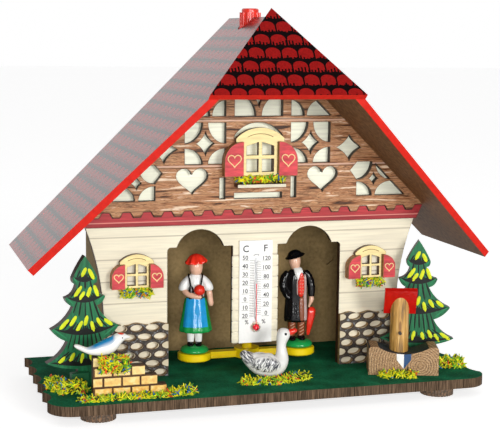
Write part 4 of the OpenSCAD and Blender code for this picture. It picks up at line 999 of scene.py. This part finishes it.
class WEATHER_HOUSE_OT_trees(bpy.types.Operator):
    """Paints both firs and their stands"""
    bl_idname = "weather_house.trees"
    bl_label = "Trees"

    # per tier: tip and notch as shares of half the width and of the height, then its yellow dabs as
    # a place across, a height above the tip and a lean in degrees
    TIERS = (
        ((0.32, 0.83), (0.22, 0.78), ((-0.1, 1.9, 27), (0.5, 1.0, -26))),
        ((0.52, 0.68), (0.3, 0.61), ((-0.36, 2.0, 34), (-0.18, 0.0, 32), (0.18, 1.3, 18), (0.55, 1.8, -20))),
        ((0.88, 0.44), (0.45, 0.34), ((-0.62, 1.6, 44), (-0.36, 2.7, 34), (-0.18, 0.2, 30), (0.02, 2.5, 14),
                                      (0.22, -0.4, -14), (0.42, 1.4, -30), (0.68, 1.3, -52))),
        ((1.0, 0.18), (0.2, 0.12), ((-0.62, 0.5, 44), (-0.36, 1.2, 30), (-0.1, 0.4, 12), (0.16, 0.4, -14),
                                    (0.36, 1.2, -24), (0.54, 0.0, -34), (0.76, 0.6, -56))))
    # half width, half thickness and finish of a stroke; a vein's width is drawn by chance
    TWIG, DAB, LIP = (0.36, 0.1, 0), (0.84, 0.2, 1), (0.32, 0.08, 2)
    VEIN = (0.1, 0)

    def execute(self, context):
        paints = context.scene.garden_paints
        fir = fir_paint(paints, context.scene.house_paints.burnt)
        self.finishes = [
            enamel("gouache_fir_black", paints.fir_dark, 0.5, shine=0.25),
            enamel("gouache_fir_tips", paints.fir_light, 0.5, shine=0.25),
            enamel("gouache_fir_light", shade(paints.fir, 1.5), 0.5, shine=0.25)]
        stand_green = enamel("gouache_stand", shade(paints.fir, 0.9), 0.4)
        for name, turn in (("left", 6), ("right", -18)):
            dress(f"{name}_tree", fir)
            dress(f"{name}_tree_stand", stand_green)
            self.brush(name, turn)
        return {"FINISHED"}

    def brush(self, name, turn):
        """Shades each tier with black, draws its twigs and veins, dabs its yellow tips and lights its lips."""
        low, high = box_mm(f"{name}_tree")
        middle = (low + high) / 2
        half_w, tall, front = 16, 52.5, -2
        trunk = high.z - low.z - tall
        chance = random.Random(name)
        bm = bmesh.new()
        for (tip, notch, dabs), (under, _, _) in zip(self.TIERS, self.TIERS[1:] + self.TIERS[-1:]):
            tip_x, tip_z = tip[0] * half_w, trunk + tip[1] * tall
            fall, under_x = (tip[1] - under[1]) * tall, under[0] * half_w
            notch_x, notch_z = notch[0] * half_w, trunk + notch[1] * tall
            sag = 0.45 * (tip_z - notch_z) + 0.8
            self.shadow(bm, 0.9 * tip_x, tip_z + 0.2, sag, front)
            twigs = 2 * len(dabs) + 3
            for i in range(twigs):
                share = (2 * i + 1) / twigs - 1
                foot = Vector((0.8 * tip_x * share, front, tip_z + 0.6 - sag * (1 - share ** 2)))
                reach = chance.uniform(2.8, 5.0) * (0.5 + 0.5 * tip[0])
                lean = Vector((-0.36 * tip_x * share, 0, reach))
                stroke(bm, foot + lean / 2, lean / 2, *self.TWIG)
            veins = len(dabs) + 1 if fall else 0    # they fan out over the tier below
            for i in range(veins):
                share = (2 * i + 1) / veins - 1
                head = Vector((0.85 * notch_x * share, front, tip_z + 0.8 - sag * (1 - (0.5 * share) ** 2)))
                length_share = chance.uniform(0.4, 0.75)
                spread = 0.85 * length_share * (0.8 * under_x - notch_x) * share
                run = Vector((spread, 0, -length_share * fall))
                stroke(bm, head + run / 2, run / 2, chance.uniform(0.26, 0.42), *self.VEIN)
            for x, rise, lean in dabs:
                at = Vector((x * tip_x, front, tip_z + rise + 0.4))
                run = Vector((math.sin(math.radians(lean)), 0, math.cos(math.radians(lean))))
                stroke(bm, at, run * chance.uniform(2.1, 2.8), *self.DAB)
            for side in (-1, 1):
                ends = [Vector((side * x, front, z)) for x, z in ((tip_x, tip_z), (notch_x, notch_z))]
                lip = (ends[0] - ends[1]) / 2
                stroke(bm, ends[1] + lip + Vector((-0.2 * side, 0, 0.75)), 0.8 * lip, *self.LIP)
        place = shift(middle.x, middle.y, low.z) @ turned(turn, "Z")
        piece(bm, f"{name}_tree_brushwork", "house", self.finishes, place=place)

    def shadow(self, bm, half, z, sag, y):
        """A black sickle between the two tips of a tier, ragged along its upper edge."""
        steps = 28
        rows = []
        for top in (0, 1):
            row = []
            for i in range(steps + 1):
                t = 2 * i / steps - 1
                thick = (2.3 + 0.6 * math.cos(13 * t)) * (1 - t ** 2) + 0.1
                row.append(bm.verts.new((half * t, y - 0.05, z - sag * (1 - t ** 2) + top * thick)))
            rows.append([bm.edges.new(pair) for pair in zip(row, row[1:])])
        made = bmesh.ops.bridge_loops(bm, edges=rows[0] + rows[1])
        bmesh.ops.solidify(bm, geom=made["faces"], thickness=0.1)


class WEATHER_HOUSE_OT_birds(bpy.types.Operator):
    """Models and paints the goose and the small bird on the wall"""
    bl_idname = "weather_house.birds"
    bl_label = "Birds"

    def execute(self, context):
        paints = context.scene.garden_paints
        black = enamel("enamel_eye", paints.black)
        red = enamel("enamel_beak", paints.red)
        self.goose(paints, black, red)
        self.small_bird(paints, black)
        return {"FINISHED"}

    def goose(self, paints, black, red):
        low, high = box_mm("goose")
        place = shift(low.x + 12.0, (low.y + high.y) / 2, low.z)
        goose = goose_enamel(paints)
        self.body("goose", goose, place, [
            (-12.1, 0, 12.3, 0.8, 1.0), (-11.5, 0, 11.6, 1.8, 1.8), (-9.8, 0, 10.0, 2.5, 2.5),
            (-7.6, 0, 8.3, 3.4, 3.3), (-4.6, 0, 6.4, 4.7, 4.4), (0, 0, 5.8, 5.4, 5.2),
            (3.6, 0, 5.7, 5.1, 5.0), (5.5, 0, 7.8, 3.5, 3.9), (5.5, 0, 10.5, 2.5, 2.6),
            (5.2, 0, 12.6, 2.1, 2.1), (5.1, 0, 14.6, 2.0, 2.0), (5.4, 0, 16.3, 2.4, 2.3),
            (6.1, 0, 18.4, 3.05, 2.8), (6.4, 0, 20.3, 2.4, 2.3), (6.5, 0, 21.3, 1.1, 1.1)])
        bm = bmesh.new()
        for side in (-1, 1):
            turn = turned(side * 8, "Z") @ turned(12, "Y")
            lie = shift(-2.4, side * 4.1, 7.2) @ turn @ stretched(6.2, 1.4, 3.3)
            bmesh.ops.create_uvsphere(bm, u_segments=20, v_segments=12, radius=1, matrix=lie)
        piece(bm, "goose_wings", "house", [goose], place=place)
        bm = bmesh.new()
        loft(bm, [(8.2, 0, 19.2, 1.5, 1.3), (9.6, 0, 19.5, 1.35, 1.2), (11.4, 0, 20.0, 1.05, 1.1),
                  (12.0, 0, 20.2, 0.5, 0.6)], 12, upright=False)
        piece(bm, "goose_beak", "house", [red], levels=1, place=place)
        self.eyes("goose", black, place, (6.2, 2.6, 19.2), 0.55)

    def small_bird(self, paints, black):
        low, high = box_mm("bird")
        place = shift(low.x + 10.4, (low.y + high.y) / 2, low.z)
        self.body("bird", bird_enamel(paints), place, [
            (-10.4, 0, 5.0, 0.5, 0.9), (-8.8, 0, 4.3, 1.1, 1.5), (-6.4, 0, 3.0, 1.0, 1.3),
            (-4.6, 0, 2.4, 1.5, 1.7), (-1.6, 0, 2.6, 2.5, 2.5), (1.6, 0, 3.3, 3.2, 2.9),
            (4.2, 0, 4.2, 3.3, 2.9), (6.0, 0, 5.8, 2.5, 2.4), (7.4, 0, 7.0, 2.3, 2.2),
            (8.9, 0, 7.4, 1.8, 1.8), (10.0, 0, 7.3, 0.9, 0.9), (11.9, 0, 7.0, 0.3, 0.3)])
        self.eyes("bird", black, place, (8.2, 1.75, 7.2), 0.4)

    def body(self, bird, finish, place, stations):
        """A body from tail to head, flat where it stands."""
        bm = bmesh.new()
        loft(bm, stations, 16, upright=False)
        for v in bm.verts:
            v.co.z = max(v.co.z, 0)
        piece(bm, f"{bird}_body", "house", [finish], [bird], 2, place)

    def eyes(self, bird, finish, place, at, radius):
        """Two flat beads at the sides of the head."""
        bm = bmesh.new()
        for side in (-1, 1):
            lie = shift(at[0], side * at[1], at[2]) @ stretched(1, 0.5, 1)
            bmesh.ops.create_uvsphere(bm, u_segments=12, v_segments=8, radius=radius, matrix=lie)
        piece(bm, f"{bird}_eyes", "house", [finish], place=place)


class Figure:
    """What the woman and the man share: how their pieces are made and put on the beam"""
    DISC_R = 7.3    # millimetres from a disc's middle to the beam's end

    def put(self, bm, name, finish, levels=1, replaces=()):
        piece(bm, f"{self.WHO}_{name}", "turntable", [self.finish[finish]], replaces, levels,
              self.place)

    def form(self, name, finish, forms, segments, upright=True):
        """A piece of one or more lofted forms."""
        bm = bmesh.new()
        for stations in forms:
            loft(bm, stations, segments, upright)
        self.put(bm, name, finish)

    def cords(self, name, finish, paths, radius, corners):
        """Thin straps or laces along open paths."""
        mesh = wires([(path, 0, False) for path in paths], radius, corners=corners)
        mesh.transform(self.place)
        settle(mesh, f"{self.WHO}_{name}", "turntable", [self.finish[finish]])


class WEATHER_HOUSE_OT_woman(Figure, bpy.types.Operator):
    """Models and paints the woman who stands for fair weather"""
    bl_idname = "weather_house.woman"
    bl_label = "Woman"
    WHO = "woman"

    def execute(self, context):
        paints = context.scene.garden_paints
        foot = box_mm("woman_figure")[0].z
        low, high = box_mm("weather_beam")
        self.place = shift(low.x + self.DISC_R, (low.y + high.y) / 2, foot) @ turned(-13, "Z")
        self.finish = {name: enamel(f"enamel_{name}_woman", getattr(paints, name))
                       for name in ("red", "white", "blue", "green", "black", "skin")}
        # The hat's red is the red enamel made lighter, as painted light against the hat's own shading
        self.finish["hat"] = enamel("enamel_hat_painted_light_woman", shade(paints.red, 1.2))
        self.standing()
        self.place = self.place @ shift(0.3, 0, 0.9)
        self.skirt()
        self.bodice()
        self.arms_and_head()
        return {"FINISHED"}

    def standing(self):
        bm = bmesh.new()
        turn_on_lathe(bm, [(0, 0), (6.1, 0), (6.3, 0.8), (5.9, 2.0), (4.4, 2.9), (2.2, 3.2), (0, 3.25)])
        self.put(bm, "mound", "green", 1, ["woman_figure"])
        self.form("shoes", "black", [[
            (x, -1.0, 2.6, 1.5, 2.5), (x, -1.0, 3.5, 1.6, 2.6), (x, -0.6, 4.4, 1.4, 1.9),
            (x, -0.3, 4.8, 1.0, 1.2)] for x in (-1.75, 1.75)], 12)
        self.form("stockings", "white", [[
            (x, 0, 3.8, 1.45, 1.5), (x, 0, 5.2, 1.55, 1.6), (x, 0, 7.4, 1.75, 1.8), (x, 0, 11.0, 1.7, 1.8)]
            for x in (-1.7, 1.7)], 14)

    def skirt(self):
        bell = [(8.1, 6.8), (8.5, 7.15), (10.5, 6.9), (14, 6.2), (18, 5.5), (21, 5.0), (23.4, 4.6)]
        flat, proud = 0.88, 0.16    # the skirt's depth for its width, and how far the apron stands off it
        bm = bmesh.new()
        loft(bm, [(0, 0, z, r, flat * r) for z, r in bell], 48)
        self.pleat(bm, bell, 0.3)
        self.put(bm, "skirt", "green")
        bm = bmesh.new()
        loft(bm, [(0, 0, z, r + proud, flat * (r + proud)) for z, r in bell[1:]], 48)
        self.pleat(bm, bell, 0.4)
        cuts = (((0, 1, 0), (0, -1.0, 0)), ((0, 0, -1), (0, 0, 10.9)), ((0, 0, 1), (0, 0, 23.1)),
                ((-1, 0, 0.12), (-5.3, 0, 11)), ((1, 0, 0.12), (5.3, 0, 11)))
        for normal, at in cuts:
            bmesh.ops.bisect_plane(bm, geom=bm.verts[:] + bm.edges[:] + bm.faces[:], plane_co=at,
                                   plane_no=normal, clear_outer=True)
        bmesh.ops.recalc_face_normals(bm, faces=bm.faces)
        bmesh.ops.solidify(bm, geom=bm.faces[:], thickness=0.22)
        self.put(bm, "apron", "blue", 0)

    def pleat(self, bm, bell, deep):
        """Presses soft pleats into the skirt, deepest at the hem."""
        low, high = bell[0][0], bell[-1][0]
        hem_r, pleats = 7, 11
        for v in bm.verts:
            around = math.atan2(v.co.y, v.co.x)
            share = (high - v.co.z) / (high - low)
            grow = 1 + deep / hem_r * share * math.cos(pleats * around)
            v.co.x *= grow
            v.co.y *= grow

    def bodice(self):
        bm = bmesh.new()
        loft(bm, [(0, 0, 22.6, 4.0, 3.2), (0, 0, 24.6, 3.8, 3.1), (0, 0, 28, 3.9, 3.1), (0, 0, 31, 3.4, 2.7),
                  (0, 0, 32.8, 2.5, 2.1), (0, 0, 33.6, 1.7, 1.5)], 20)
        for side, out in ((-1, 0), (1, 0.4)):
            loft(bm, [(side * (x + out), y, z, half_w, half_d) for x, y, z, half_w, half_d in (
                (5.1, -0.5, 26.0, 2.0, 2.0), (5.1, -0.4, 26.9, 2.4, 2.4), (4.6, -0.2, 29.0, 2.4, 2.4),
                (3.3, 0, 31.2, 1.9, 2.0), (2.0, 0, 32.9, 1.2, 1.4))], 14)
        self.put(bm, "blouse", "white")
        strap = ((1.7, -2.9, 22.9, 3.6), (1.9, -2.9, 25.5, 3.6), (2.0, -3.0, 27.6, 2.8), (2.2, -3.2, 28.6, 1.2),
                 (2.5, -3.0, 30.6, 1.0), (2.9, -2.2, 32.4, 0.9), (3.0, -0.6, 33.2, 0.9))
        self.cords("straps", "black", [[(x * side, *rest) for x, *rest in strap] for side in (-1, 1)], 0.38, 2)

    def arms_and_head(self):
        bm = bmesh.new()
        loft(bm, [(2.7, -4.6, 23.8, 0.6, 0.7), (1.4, -4.6, 23.9, 1.2, 1.2), (-1.4, -4.0, 24.4, 1.35, 1.35),
                  (-3.8, -2.6, 25.0, 1.4, 1.4), (-5.2, -1.0, 26.4, 1.4, 1.4)], 12, upright=False)
        loft(bm, [(6.8, -1.2, 19.2, 0.6, 0.7), (6.7, -1.1, 20.5, 1.35, 1.25), (6.4, -0.9, 22.2, 1.2, 1.2),
                  (6.1, -0.7, 24.4, 1.35, 1.35), (5.7, -0.5, 26.8, 1.4, 1.4)], 12, upright=False)
        loft(bm, [(0.2, 0, 32, 1.3, 1.3), (0.2, -0.1, 33.0, 1.6, 1.6), (0.2, -0.5, 33.4, 2.3, 2.3),
                  (0.2, -0.4, 35.0, 2.95, 3.0), (0.2, -0.1, 37.4, 3.1, 3.2), (0.2, 0, 39.4, 2.6, 2.7)], 16)
        self.put(bm, "skin", "skin")
        bm = bmesh.new()
        middle, petal = Vector((1.6, -4.9, 27.0)), 0.13
        bmesh.ops.create_icosphere(bm, subdivisions=3, radius=2.4, matrix=Matrix.Translation(middle))
        for v in bm.verts:
            v.co += (v.co - middle).normalized() * petal * math.sin(4 * v.co.x) * math.sin(4 * v.co.z)
        self.put(bm, "posy", "red", 0)
        bm = bmesh.new()
        made = turn_on_lathe(bm, [(0, 0.7), (2.8, 0.4), (4.2, 0), (4.75, 0.1), (4.8, 0.6), (4.0, 1.4), (3.3, 2.5),
                                  (2.1, 3.5), (0.9, 4.0), (0, 4.1)], 54)
        for v in made:
            flute = math.cos(9 * math.atan2(v.co.y, v.co.x)) * v.co.xy.length_squared / 21
            v.co.x *= 1 + 0.05 * flute
            v.co.y *= 1 + 0.05 * flute
            v.co.z += 0.28 * flute
        bmesh.ops.transform(bm, matrix=shift(0.3, 0, 37.9) @ turned(-6, "Y"), verts=made)
        self.put(bm, "hat", "hat")


class WEATHER_HOUSE_OT_man(Figure, bpy.types.Operator):
    """Models and paints the man who stands for rain"""
    bl_idname = "weather_house.man"
    bl_label = "Man"
    WHO = "man"
    ASIDE = 1.1    # millimetres from the disc's middle to the figure, which stands to the left of it
    FEET = (-1.6, 2.3)

    def execute(self, context):
        paints = context.scene.garden_paints
        foot = box_mm("man_figure")[0].z
        low, high = box_mm("weather_beam")
        self.place = shift(high.x - self.DISC_R, (low.y + high.y) / 2, foot) @ turned(-4, "Z")
        self.place = self.place @ shift(-self.ASIDE, 0, 0) @ stretched(1.09, 1.05, 1.02)
        self.finish = {name: enamel(f"enamel_{name}_man", getattr(paints, name))
                       for name in ("red", "white", "green", "skin", "leather", "lining")}
        self.finish["black"] = enamel("enamel_black_man", paints.black, 0.12, shine=0.3)
        # The studs are drawn pale red: the red of the studs with a painted highlight on each
        self.finish["studs_painted_glint"] = enamel("enamel_studs_man", linear("ff7c66"), 0.1)
        self.legs()
        self.coat()
        self.front()
        self.head()
        return {"FINISHED"}

    def legs(self):
        bm = bmesh.new()
        turn_on_lathe(bm, [(0, 0), (5.8, 0), (6.0, 0.8), (5.6, 2.0), (4.2, 2.9), (2.1, 3.2), (0, 3.25)])
        bmesh.ops.translate(bm, verts=bm.verts, vec=(self.ASIDE, 0, 0))
        self.put(bm, "mound", "green", 1, ["man_figure"])
        self.form("shoes", "black", [[
            (x, -1.2, 2.6, 1.5, 2.6), (x, -1.2, 3.5, 1.6, 2.7), (x, -0.7, 4.3, 1.4, 1.9),
            (x, -0.3, 4.7, 1.0, 1.2)] for x in self.FEET], 12)
        self.form("legs", "leather", [[
            (x, 0, 3.8, 1.35, 1.4), (x, 0, 6, 1.6, 1.6), (x, 0, 8.6, 1.7, 1.7), (x, 0, 13, 1.9, 1.9)]
            for x in self.FEET], 14)
        turns = [(x, 4.8 + 1.4 * i) for x in self.FEET for i in range(4)]
        self.cords("laces", "skin", [
            [(x - 0.9, -1.4, z), (x - 0.1, -1.66, z + 0.5), (x + 0.8, -1.4, z + 1.1)] for x, z in turns], 0.15, 1)

    def coat(self):
        deep, folds, start = 0.045, 8, 1.95
        bm = bmesh.new()
        loft(bm, [(0, 0, 10.8, 4.7, 4.1), (0, 0, 11.2, 5.0, 4.5), (0, 0, 16, 4.9, 3.9), (0, 0, 21, 4.4, 3.25),
                  (0, 0, 25, 4.5, 3.3), (0, 0, 29, 4.9, 3.3), (0, 0, 32, 4.3, 2.8), (0, 0, 33.4, 2.6, 2.2),
                  (0, 0, 34, 1.6, 1.6)], 40)
        for v in bm.verts:
            fold = 1 + deep * math.cos(folds * math.atan2(v.co.y, v.co.x) - start)
            v.co.x *= fold
            v.co.y *= fold
        for sleeve in (
                [(-3.2, -3.1, 21.0, 1.0, 1.0), (-4.2, -2.3, 22.4, 1.5, 1.5), (-5.3, -0.9, 25.0, 1.75, 1.8),
                 (-5.5, -0.2, 27.4, 1.85, 1.9), (-4.8, 0, 30.3, 1.9, 2.0), (-3.4, 0, 32.8, 1.2, 1.4)],
                [(6.2, -1.0, 21.3, 1.35, 1.4), (6.3, -0.6, 25.4, 1.65, 1.7), (5.9, -0.2, 28.0, 1.75, 1.8),
                 (4.8, 0, 30.8, 1.8, 1.9), (3.4, 0, 32.8, 1.2, 1.4)]):
            loft(bm, self.creased(sleeve), 14, upright=False)
        self.put(bm, "coat", "black")

    def creased(self, stations, between=3, deep=0.09):
        """Adds rings between stations and draws every other one in, as folds in a sleeve."""
        rings = []
        for a, b in zip(stations, stations[1:]):
            for i in range(between):
                *middle, half_w, half_d = (p + (q - p) * i / between for p, q in zip(a, b))
                squeeze = 1 - deep * (len(rings) % 2)
                rings.append((*middle, half_w * squeeze, half_d * squeeze))
        return rings + [stations[-1]]

    def front(self):
        """What shows between the coat's edges, and the hand with the umbrella."""
        strips = {
            "shirt": ("white", [
                (0.4, -3.2, 29.0, 0.5, 0.5), (0.5, -3.2, 30.4, 1.4, 0.8), (0.4, -2.9, 32.4, 1.9, 1.1),
                (0.2, -2.0, 33.9, 1.9, 1.3), (-0.1, -0.9, 34.8, 1.7, 1.4)]),
            "vest": ("red", [
                (1.2, -3.4, 22.0, 0.6, 0.5), (1.2, -3.5, 23.0, 1.3, 0.7), (1.2, -3.5, 27.0, 1.5, 0.8),
                (1.2, -3.6, 30.6, 1.2, 0.8), (1.2, -3.6, 32.8, 0.5, 0.5)]),
            "breeches": ("leather", [
                (1.5, -4.1, 10.9, 1.1, 0.8), (1.5, -3.6, 16.0, 1.1, 0.7), (1.5, -3.0, 23.0, 1.1, 0.7)]),
            "facing": ("lining", [
                (-0.3, -3.5, 22.4, 0.3, 0.4), (-0.4, -3.5, 26.0, 0.35, 0.4), (-0.4, -3.4, 30.4, 0.3, 0.4)]),
            "lining": ("lining", [
                (3.1, -3.45, 10.9, 0.9, 0.7), (3.1, -2.95, 16.0, 0.9, 0.7), (3.0, -2.45, 21.0, 0.8, 0.7),
                (3.1, -2.5, 26.0, 0.7, 0.7), (3.0, -2.5, 30.0, 0.7, 0.6), (2.9, -2.2, 32.0, 0.4, 0.5)])}
        for name, (finish, stations) in strips.items():
            self.form(name, finish, [stations], 14)
        bm = bmesh.new()
        for i in range(6):
            for x in (0.65, 1.75):
                bmesh.ops.create_uvsphere(bm, u_segments=8, v_segments=6, radius=0.42,
                                          matrix=shift(x, -4.25, 23.7 + 1.4 * i))
        self.put(bm, "buttons", "studs_painted_glint", 0)
        self.form("hand", "skin", [[
            (5.0, -1.6, 16.8, 0.4, 0.5), (5.4, -1.5, 18.6, 0.6, 0.75), (6.1, -1.4, 19.8, 1.05, 1.1),
            (6.2, -1.2, 21.0, 1.1, 1.1), (6.2, -1.0, 22.2, 0.9, 0.9)]], 12, upright=False)
        rib, ribs = 0.14, 5
        bm = bmesh.new()
        loft(bm, [(4.7, -1.9, 4.6, 0.4, 0.4), (4.9, -1.9, 6.2, 0.85, 0.85), (5.4, -1.8, 10.0, 1.4, 1.4),
                  (5.9, -1.7, 13.4, 1.7, 1.7), (6.1, -1.6, 15.4, 1.85, 1.85), (6.1, -1.6, 16.6, 1.4, 1.4),
                  (6.0, -1.5, 17.2, 0.6, 0.6)], 20, upright=False)
        for v in bm.verts:
            axis_x = 4.1 + 0.135 * v.co.z
            around = math.atan2(v.co.y + 1.7, v.co.x - axis_x)
            v.co.x += rib * math.cos(around) * math.cos(ribs * around)
            v.co.y += rib * math.sin(around) * math.cos(ribs * around)
        self.put(bm, "umbrella", "red")

    def head(self):
        self.form("face", "skin", [[
            (-0.4, 0, 32.4, 1.4, 1.4), (-0.6, -0.2, 34.0, 1.5, 1.6), (-0.7, -0.6, 34.6, 1.9, 2.1),
            (-0.8, -0.5, 36.2, 2.4, 2.6), (-0.9, -0.1, 38.2, 2.6, 2.8), (-0.9, 0, 40.0, 2.2, 2.3)]], 16)
        bm = bmesh.new()
        made = turn_on_lathe(bm, [(0, -0.4), (2.6, -0.45), (4.0, -0.3), (4.3, -0.1), (3.9, 0.25), (3.0, 0.7),
                                  (2.6, 1.6), (1.6, 2.5), (0, 2.75)], 36)
        bmesh.ops.transform(bm, matrix=shift(-0.7, -0.1, 39.3) @ turned(-17, "Y"), verts=made)
        self.put(bm, "hat", "black")


class WEATHER_HOUSE_OT_garden(bpy.types.Operator):
    """Finishes the garden wall and the well"""
    bl_idname = "weather_house.garden"
    bl_label = "Garden wall and well"

    def execute(self, context):
        paints, house = context.scene.garden_paints, context.scene.house_paints
        dress("brick_wall", brick_ply(house))
        dress("well_trough", hewn_log(paints))
        dress("well_post", peeled_twig(paints))
        dress("well_spout", enamel("spout_hole", linear("2a211c"), 0.5))
        dress("well_roof", enamel("enamel_well_red", linear("c7150f"), 0.18))
        self.drop(paints)
        return {"FINISHED"}

    def drop(self, paints):
        """The drop painted below the trough's dip: white on the left, blue on the right."""
        low, high = box_mm("well_trough")
        middle = (low + high) / 2
        trough_turn = 18
        turn = math.radians(trough_turn)
        wide, deep = high.x - low.x, high.y - low.y
        half_depth = (deep * math.cos(turn) - wide * math.sin(turn)) / math.cos(2 * turn) / 2
        dip = 3.0
        top = high.z - low.z - dip
        bm = bmesh.new()
        for side, finish in ((-1, 0), (1, 1)):
            outline = [(0, top + 0.02), (side * 3.1, top + 0.25), (side * 3.0, top - 2.4), (0, top - 6.2)]
            face = bm.faces.new([bm.verts.new((x, -half_depth - 0.02, z)) for x, z in outline])
            made = bmesh.ops.extrude_face_region(bm, geom=[face])["geom"]
            raised = [v for v in made if isinstance(v, bmesh.types.BMVert)]
            bmesh.ops.translate(bm, verts=raised, vec=(0, -0.16, 0))
            for part in faces_of(raised) + [face]:
                part.material_index = finish
        place = shift(middle.x, middle.y, low.z) @ turned(-trough_turn, "Z")
        finishes = [enamel("enamel_drop_white", paints.white), enamel("enamel_drop_blue", linear("1f4a78"))]
        piece(bm, "trough_drop", "house", finishes, place=place)


class WEATHER_HOUSE_OT_tufts(bpy.types.Operator):
    """Grows the tufts of dyed wood wool over the beds, the sills and the wall"""
    bl_idname = "weather_house.tufts"
    bl_label = "Tufts"

    BEDS = ("gable_flowers", "left_window_flowers", "right_window_flowers", "wall_top_flowers", "goose_grass",
            "left_grass", "wall_grass", "well_grass", "right_grass")
    # per dye: its share in grass and its share in flowers
    DYES = (("lime", "d2dc24", 34, 34), ("yellow", "ffe012", 27, 27), ("leaf", "62a824", 22, 22),
            ("orange", "f0561a", 6, 12), ("blue", "2a74ba", 5, 9), ("dark", "2c3a18", 6, 6))
    WALL_BED = 0.5    # the grass at the wall's foot lies lower than at its end

    def execute(self, context):
        sizes = context.scene.house_sizes
        finishes = [dyed_fibre(f"wood_wool_{name}", linear(code)) for name, code, _, _ in self.DYES]
        for node in self.BEDS:
            paths = self.grow(node, sizes)
            mesh = wires(paths, sizes.fibre_d / MM / 2, len(finishes))
            settle(mesh, f"{node}_fibres", "house", finishes, [node])
        return {"FINISHED"}

    def grow(self, node, sizes):
        """Curls that start on the bed's surface and run off it in all directions."""
        chance = random.Random(node)
        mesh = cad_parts[node].data
        mesh.calc_loop_triangles()
        corners = [[mesh.vertices[i].co / MM for i in tri.vertices] for tri in mesh.loop_triangles]
        normals = [tri.normal.copy() for tri in mesh.loop_triangles]
        areas = [tri.area / MM ** 2 for tri in mesh.loop_triangles]
        shown = [area if normal.z > -0.5 else 0 for area, normal in zip(areas, normals)]
        flowers = "flowers" in node
        weights = [in_flowers if flowers else in_grass for _, _, in_grass, in_flowers in self.DYES]
        wall_end = box_mm("brick_wall")[1].x
        floor = min(corner.z for face in corners for corner in face)
        paths = []
        for _ in range(int(sum(shown) * sizes.fibres)):
            i = chance.choices(range(len(corners)), shown)[0]
            a, b = sorted((chance.random(), chance.random()))
            start = corners[i][0] * a + corners[i][1] * (b - a) + corners[i][2] * (1 - b)
            if node == "wall_grass" and start.x < wall_end:
                start.z = floor + self.WALL_BED * (start.z - floor)
            way = Vector([chance.gauss(0, 1) for _ in range(3)]).normalized()
            way = (way - 0.8 * way.dot(normals[i]) * normals[i]).normalized()
            bend = (Vector([chance.gauss(0, 1) for _ in range(3)]).normalized() + 0.3 * normals[i]).normalized()
            run = sizes.fibre_l / MM * chance.uniform(0.5, 1.2) * (0.75 if flowers else 1)
            points = []
            at = start - chance.uniform(0.1, 0.7) * normals[i] - way * run / 2
            for step in range(4):
                points.append((*at, 1.0 if step in (1, 2) else 0.75))
                at = at + way * run / 3
                way = (way + 0.6 * bend).normalized()
            paths.append((points, chance.choices(range(len(weights)), weights)[0], False))
        return paths


class WEATHER_HOUSE_PT_sidebar(bpy.types.Panel):
    """Lists the pieces with their paints and sizes"""
    bl_idname = "WEATHER_HOUSE_PT_sidebar"
    bl_label = "Weather House"
    bl_space_type = "VIEW_3D"
    bl_region_type = "UI"
    bl_category = "Weather House"

    def draw(self, context):
        layout = self.layout
        for operator in OPERATORS:
            layout.operator(operator.bl_idname)
        for group in (context.scene.house_paints, context.scene.garden_paints, context.scene.house_sizes):
            column = layout.column()
            for name in type(group).__annotations__:
                column.prop(group, name)


OPERATORS = (
    WEATHER_HOUSE_OT_stage, WEATHER_HOUSE_OT_house, WEATHER_HOUSE_OT_windows, WEATHER_HOUSE_OT_thermometer,
    WEATHER_HOUSE_OT_mechanism, WEATHER_HOUSE_OT_trees, WEATHER_HOUSE_OT_birds, WEATHER_HOUSE_OT_woman,
    WEATHER_HOUSE_OT_man, WEATHER_HOUSE_OT_garden, WEATHER_HOUSE_OT_tufts)
GROUPS = {"house_paints": HousePaints, "garden_paints": GardenPaints, "house_sizes": HouseSizes}
CLASSES = (*GROUPS.values(), *OPERATORS, WEATHER_HOUSE_PT_sidebar)


def register():
    for cls in CLASSES:
        bpy.utils.register_class(cls)
    for name, group in GROUPS.items():
        setattr(bpy.types.Scene, name, bpy.props.PointerProperty(type=group))


def unregister():
    for name in GROUPS:
        delattr(bpy.types.Scene, name)
    for cls in reversed(CLASSES):
        bpy.utils.unregister_class(cls)


def main():
    register()
    for operator in OPERATORS:
        family, name = operator.bl_idname.split(".")
        getattr(getattr(bpy.ops, family), name)()


if __name__ == "__main__":
    main()
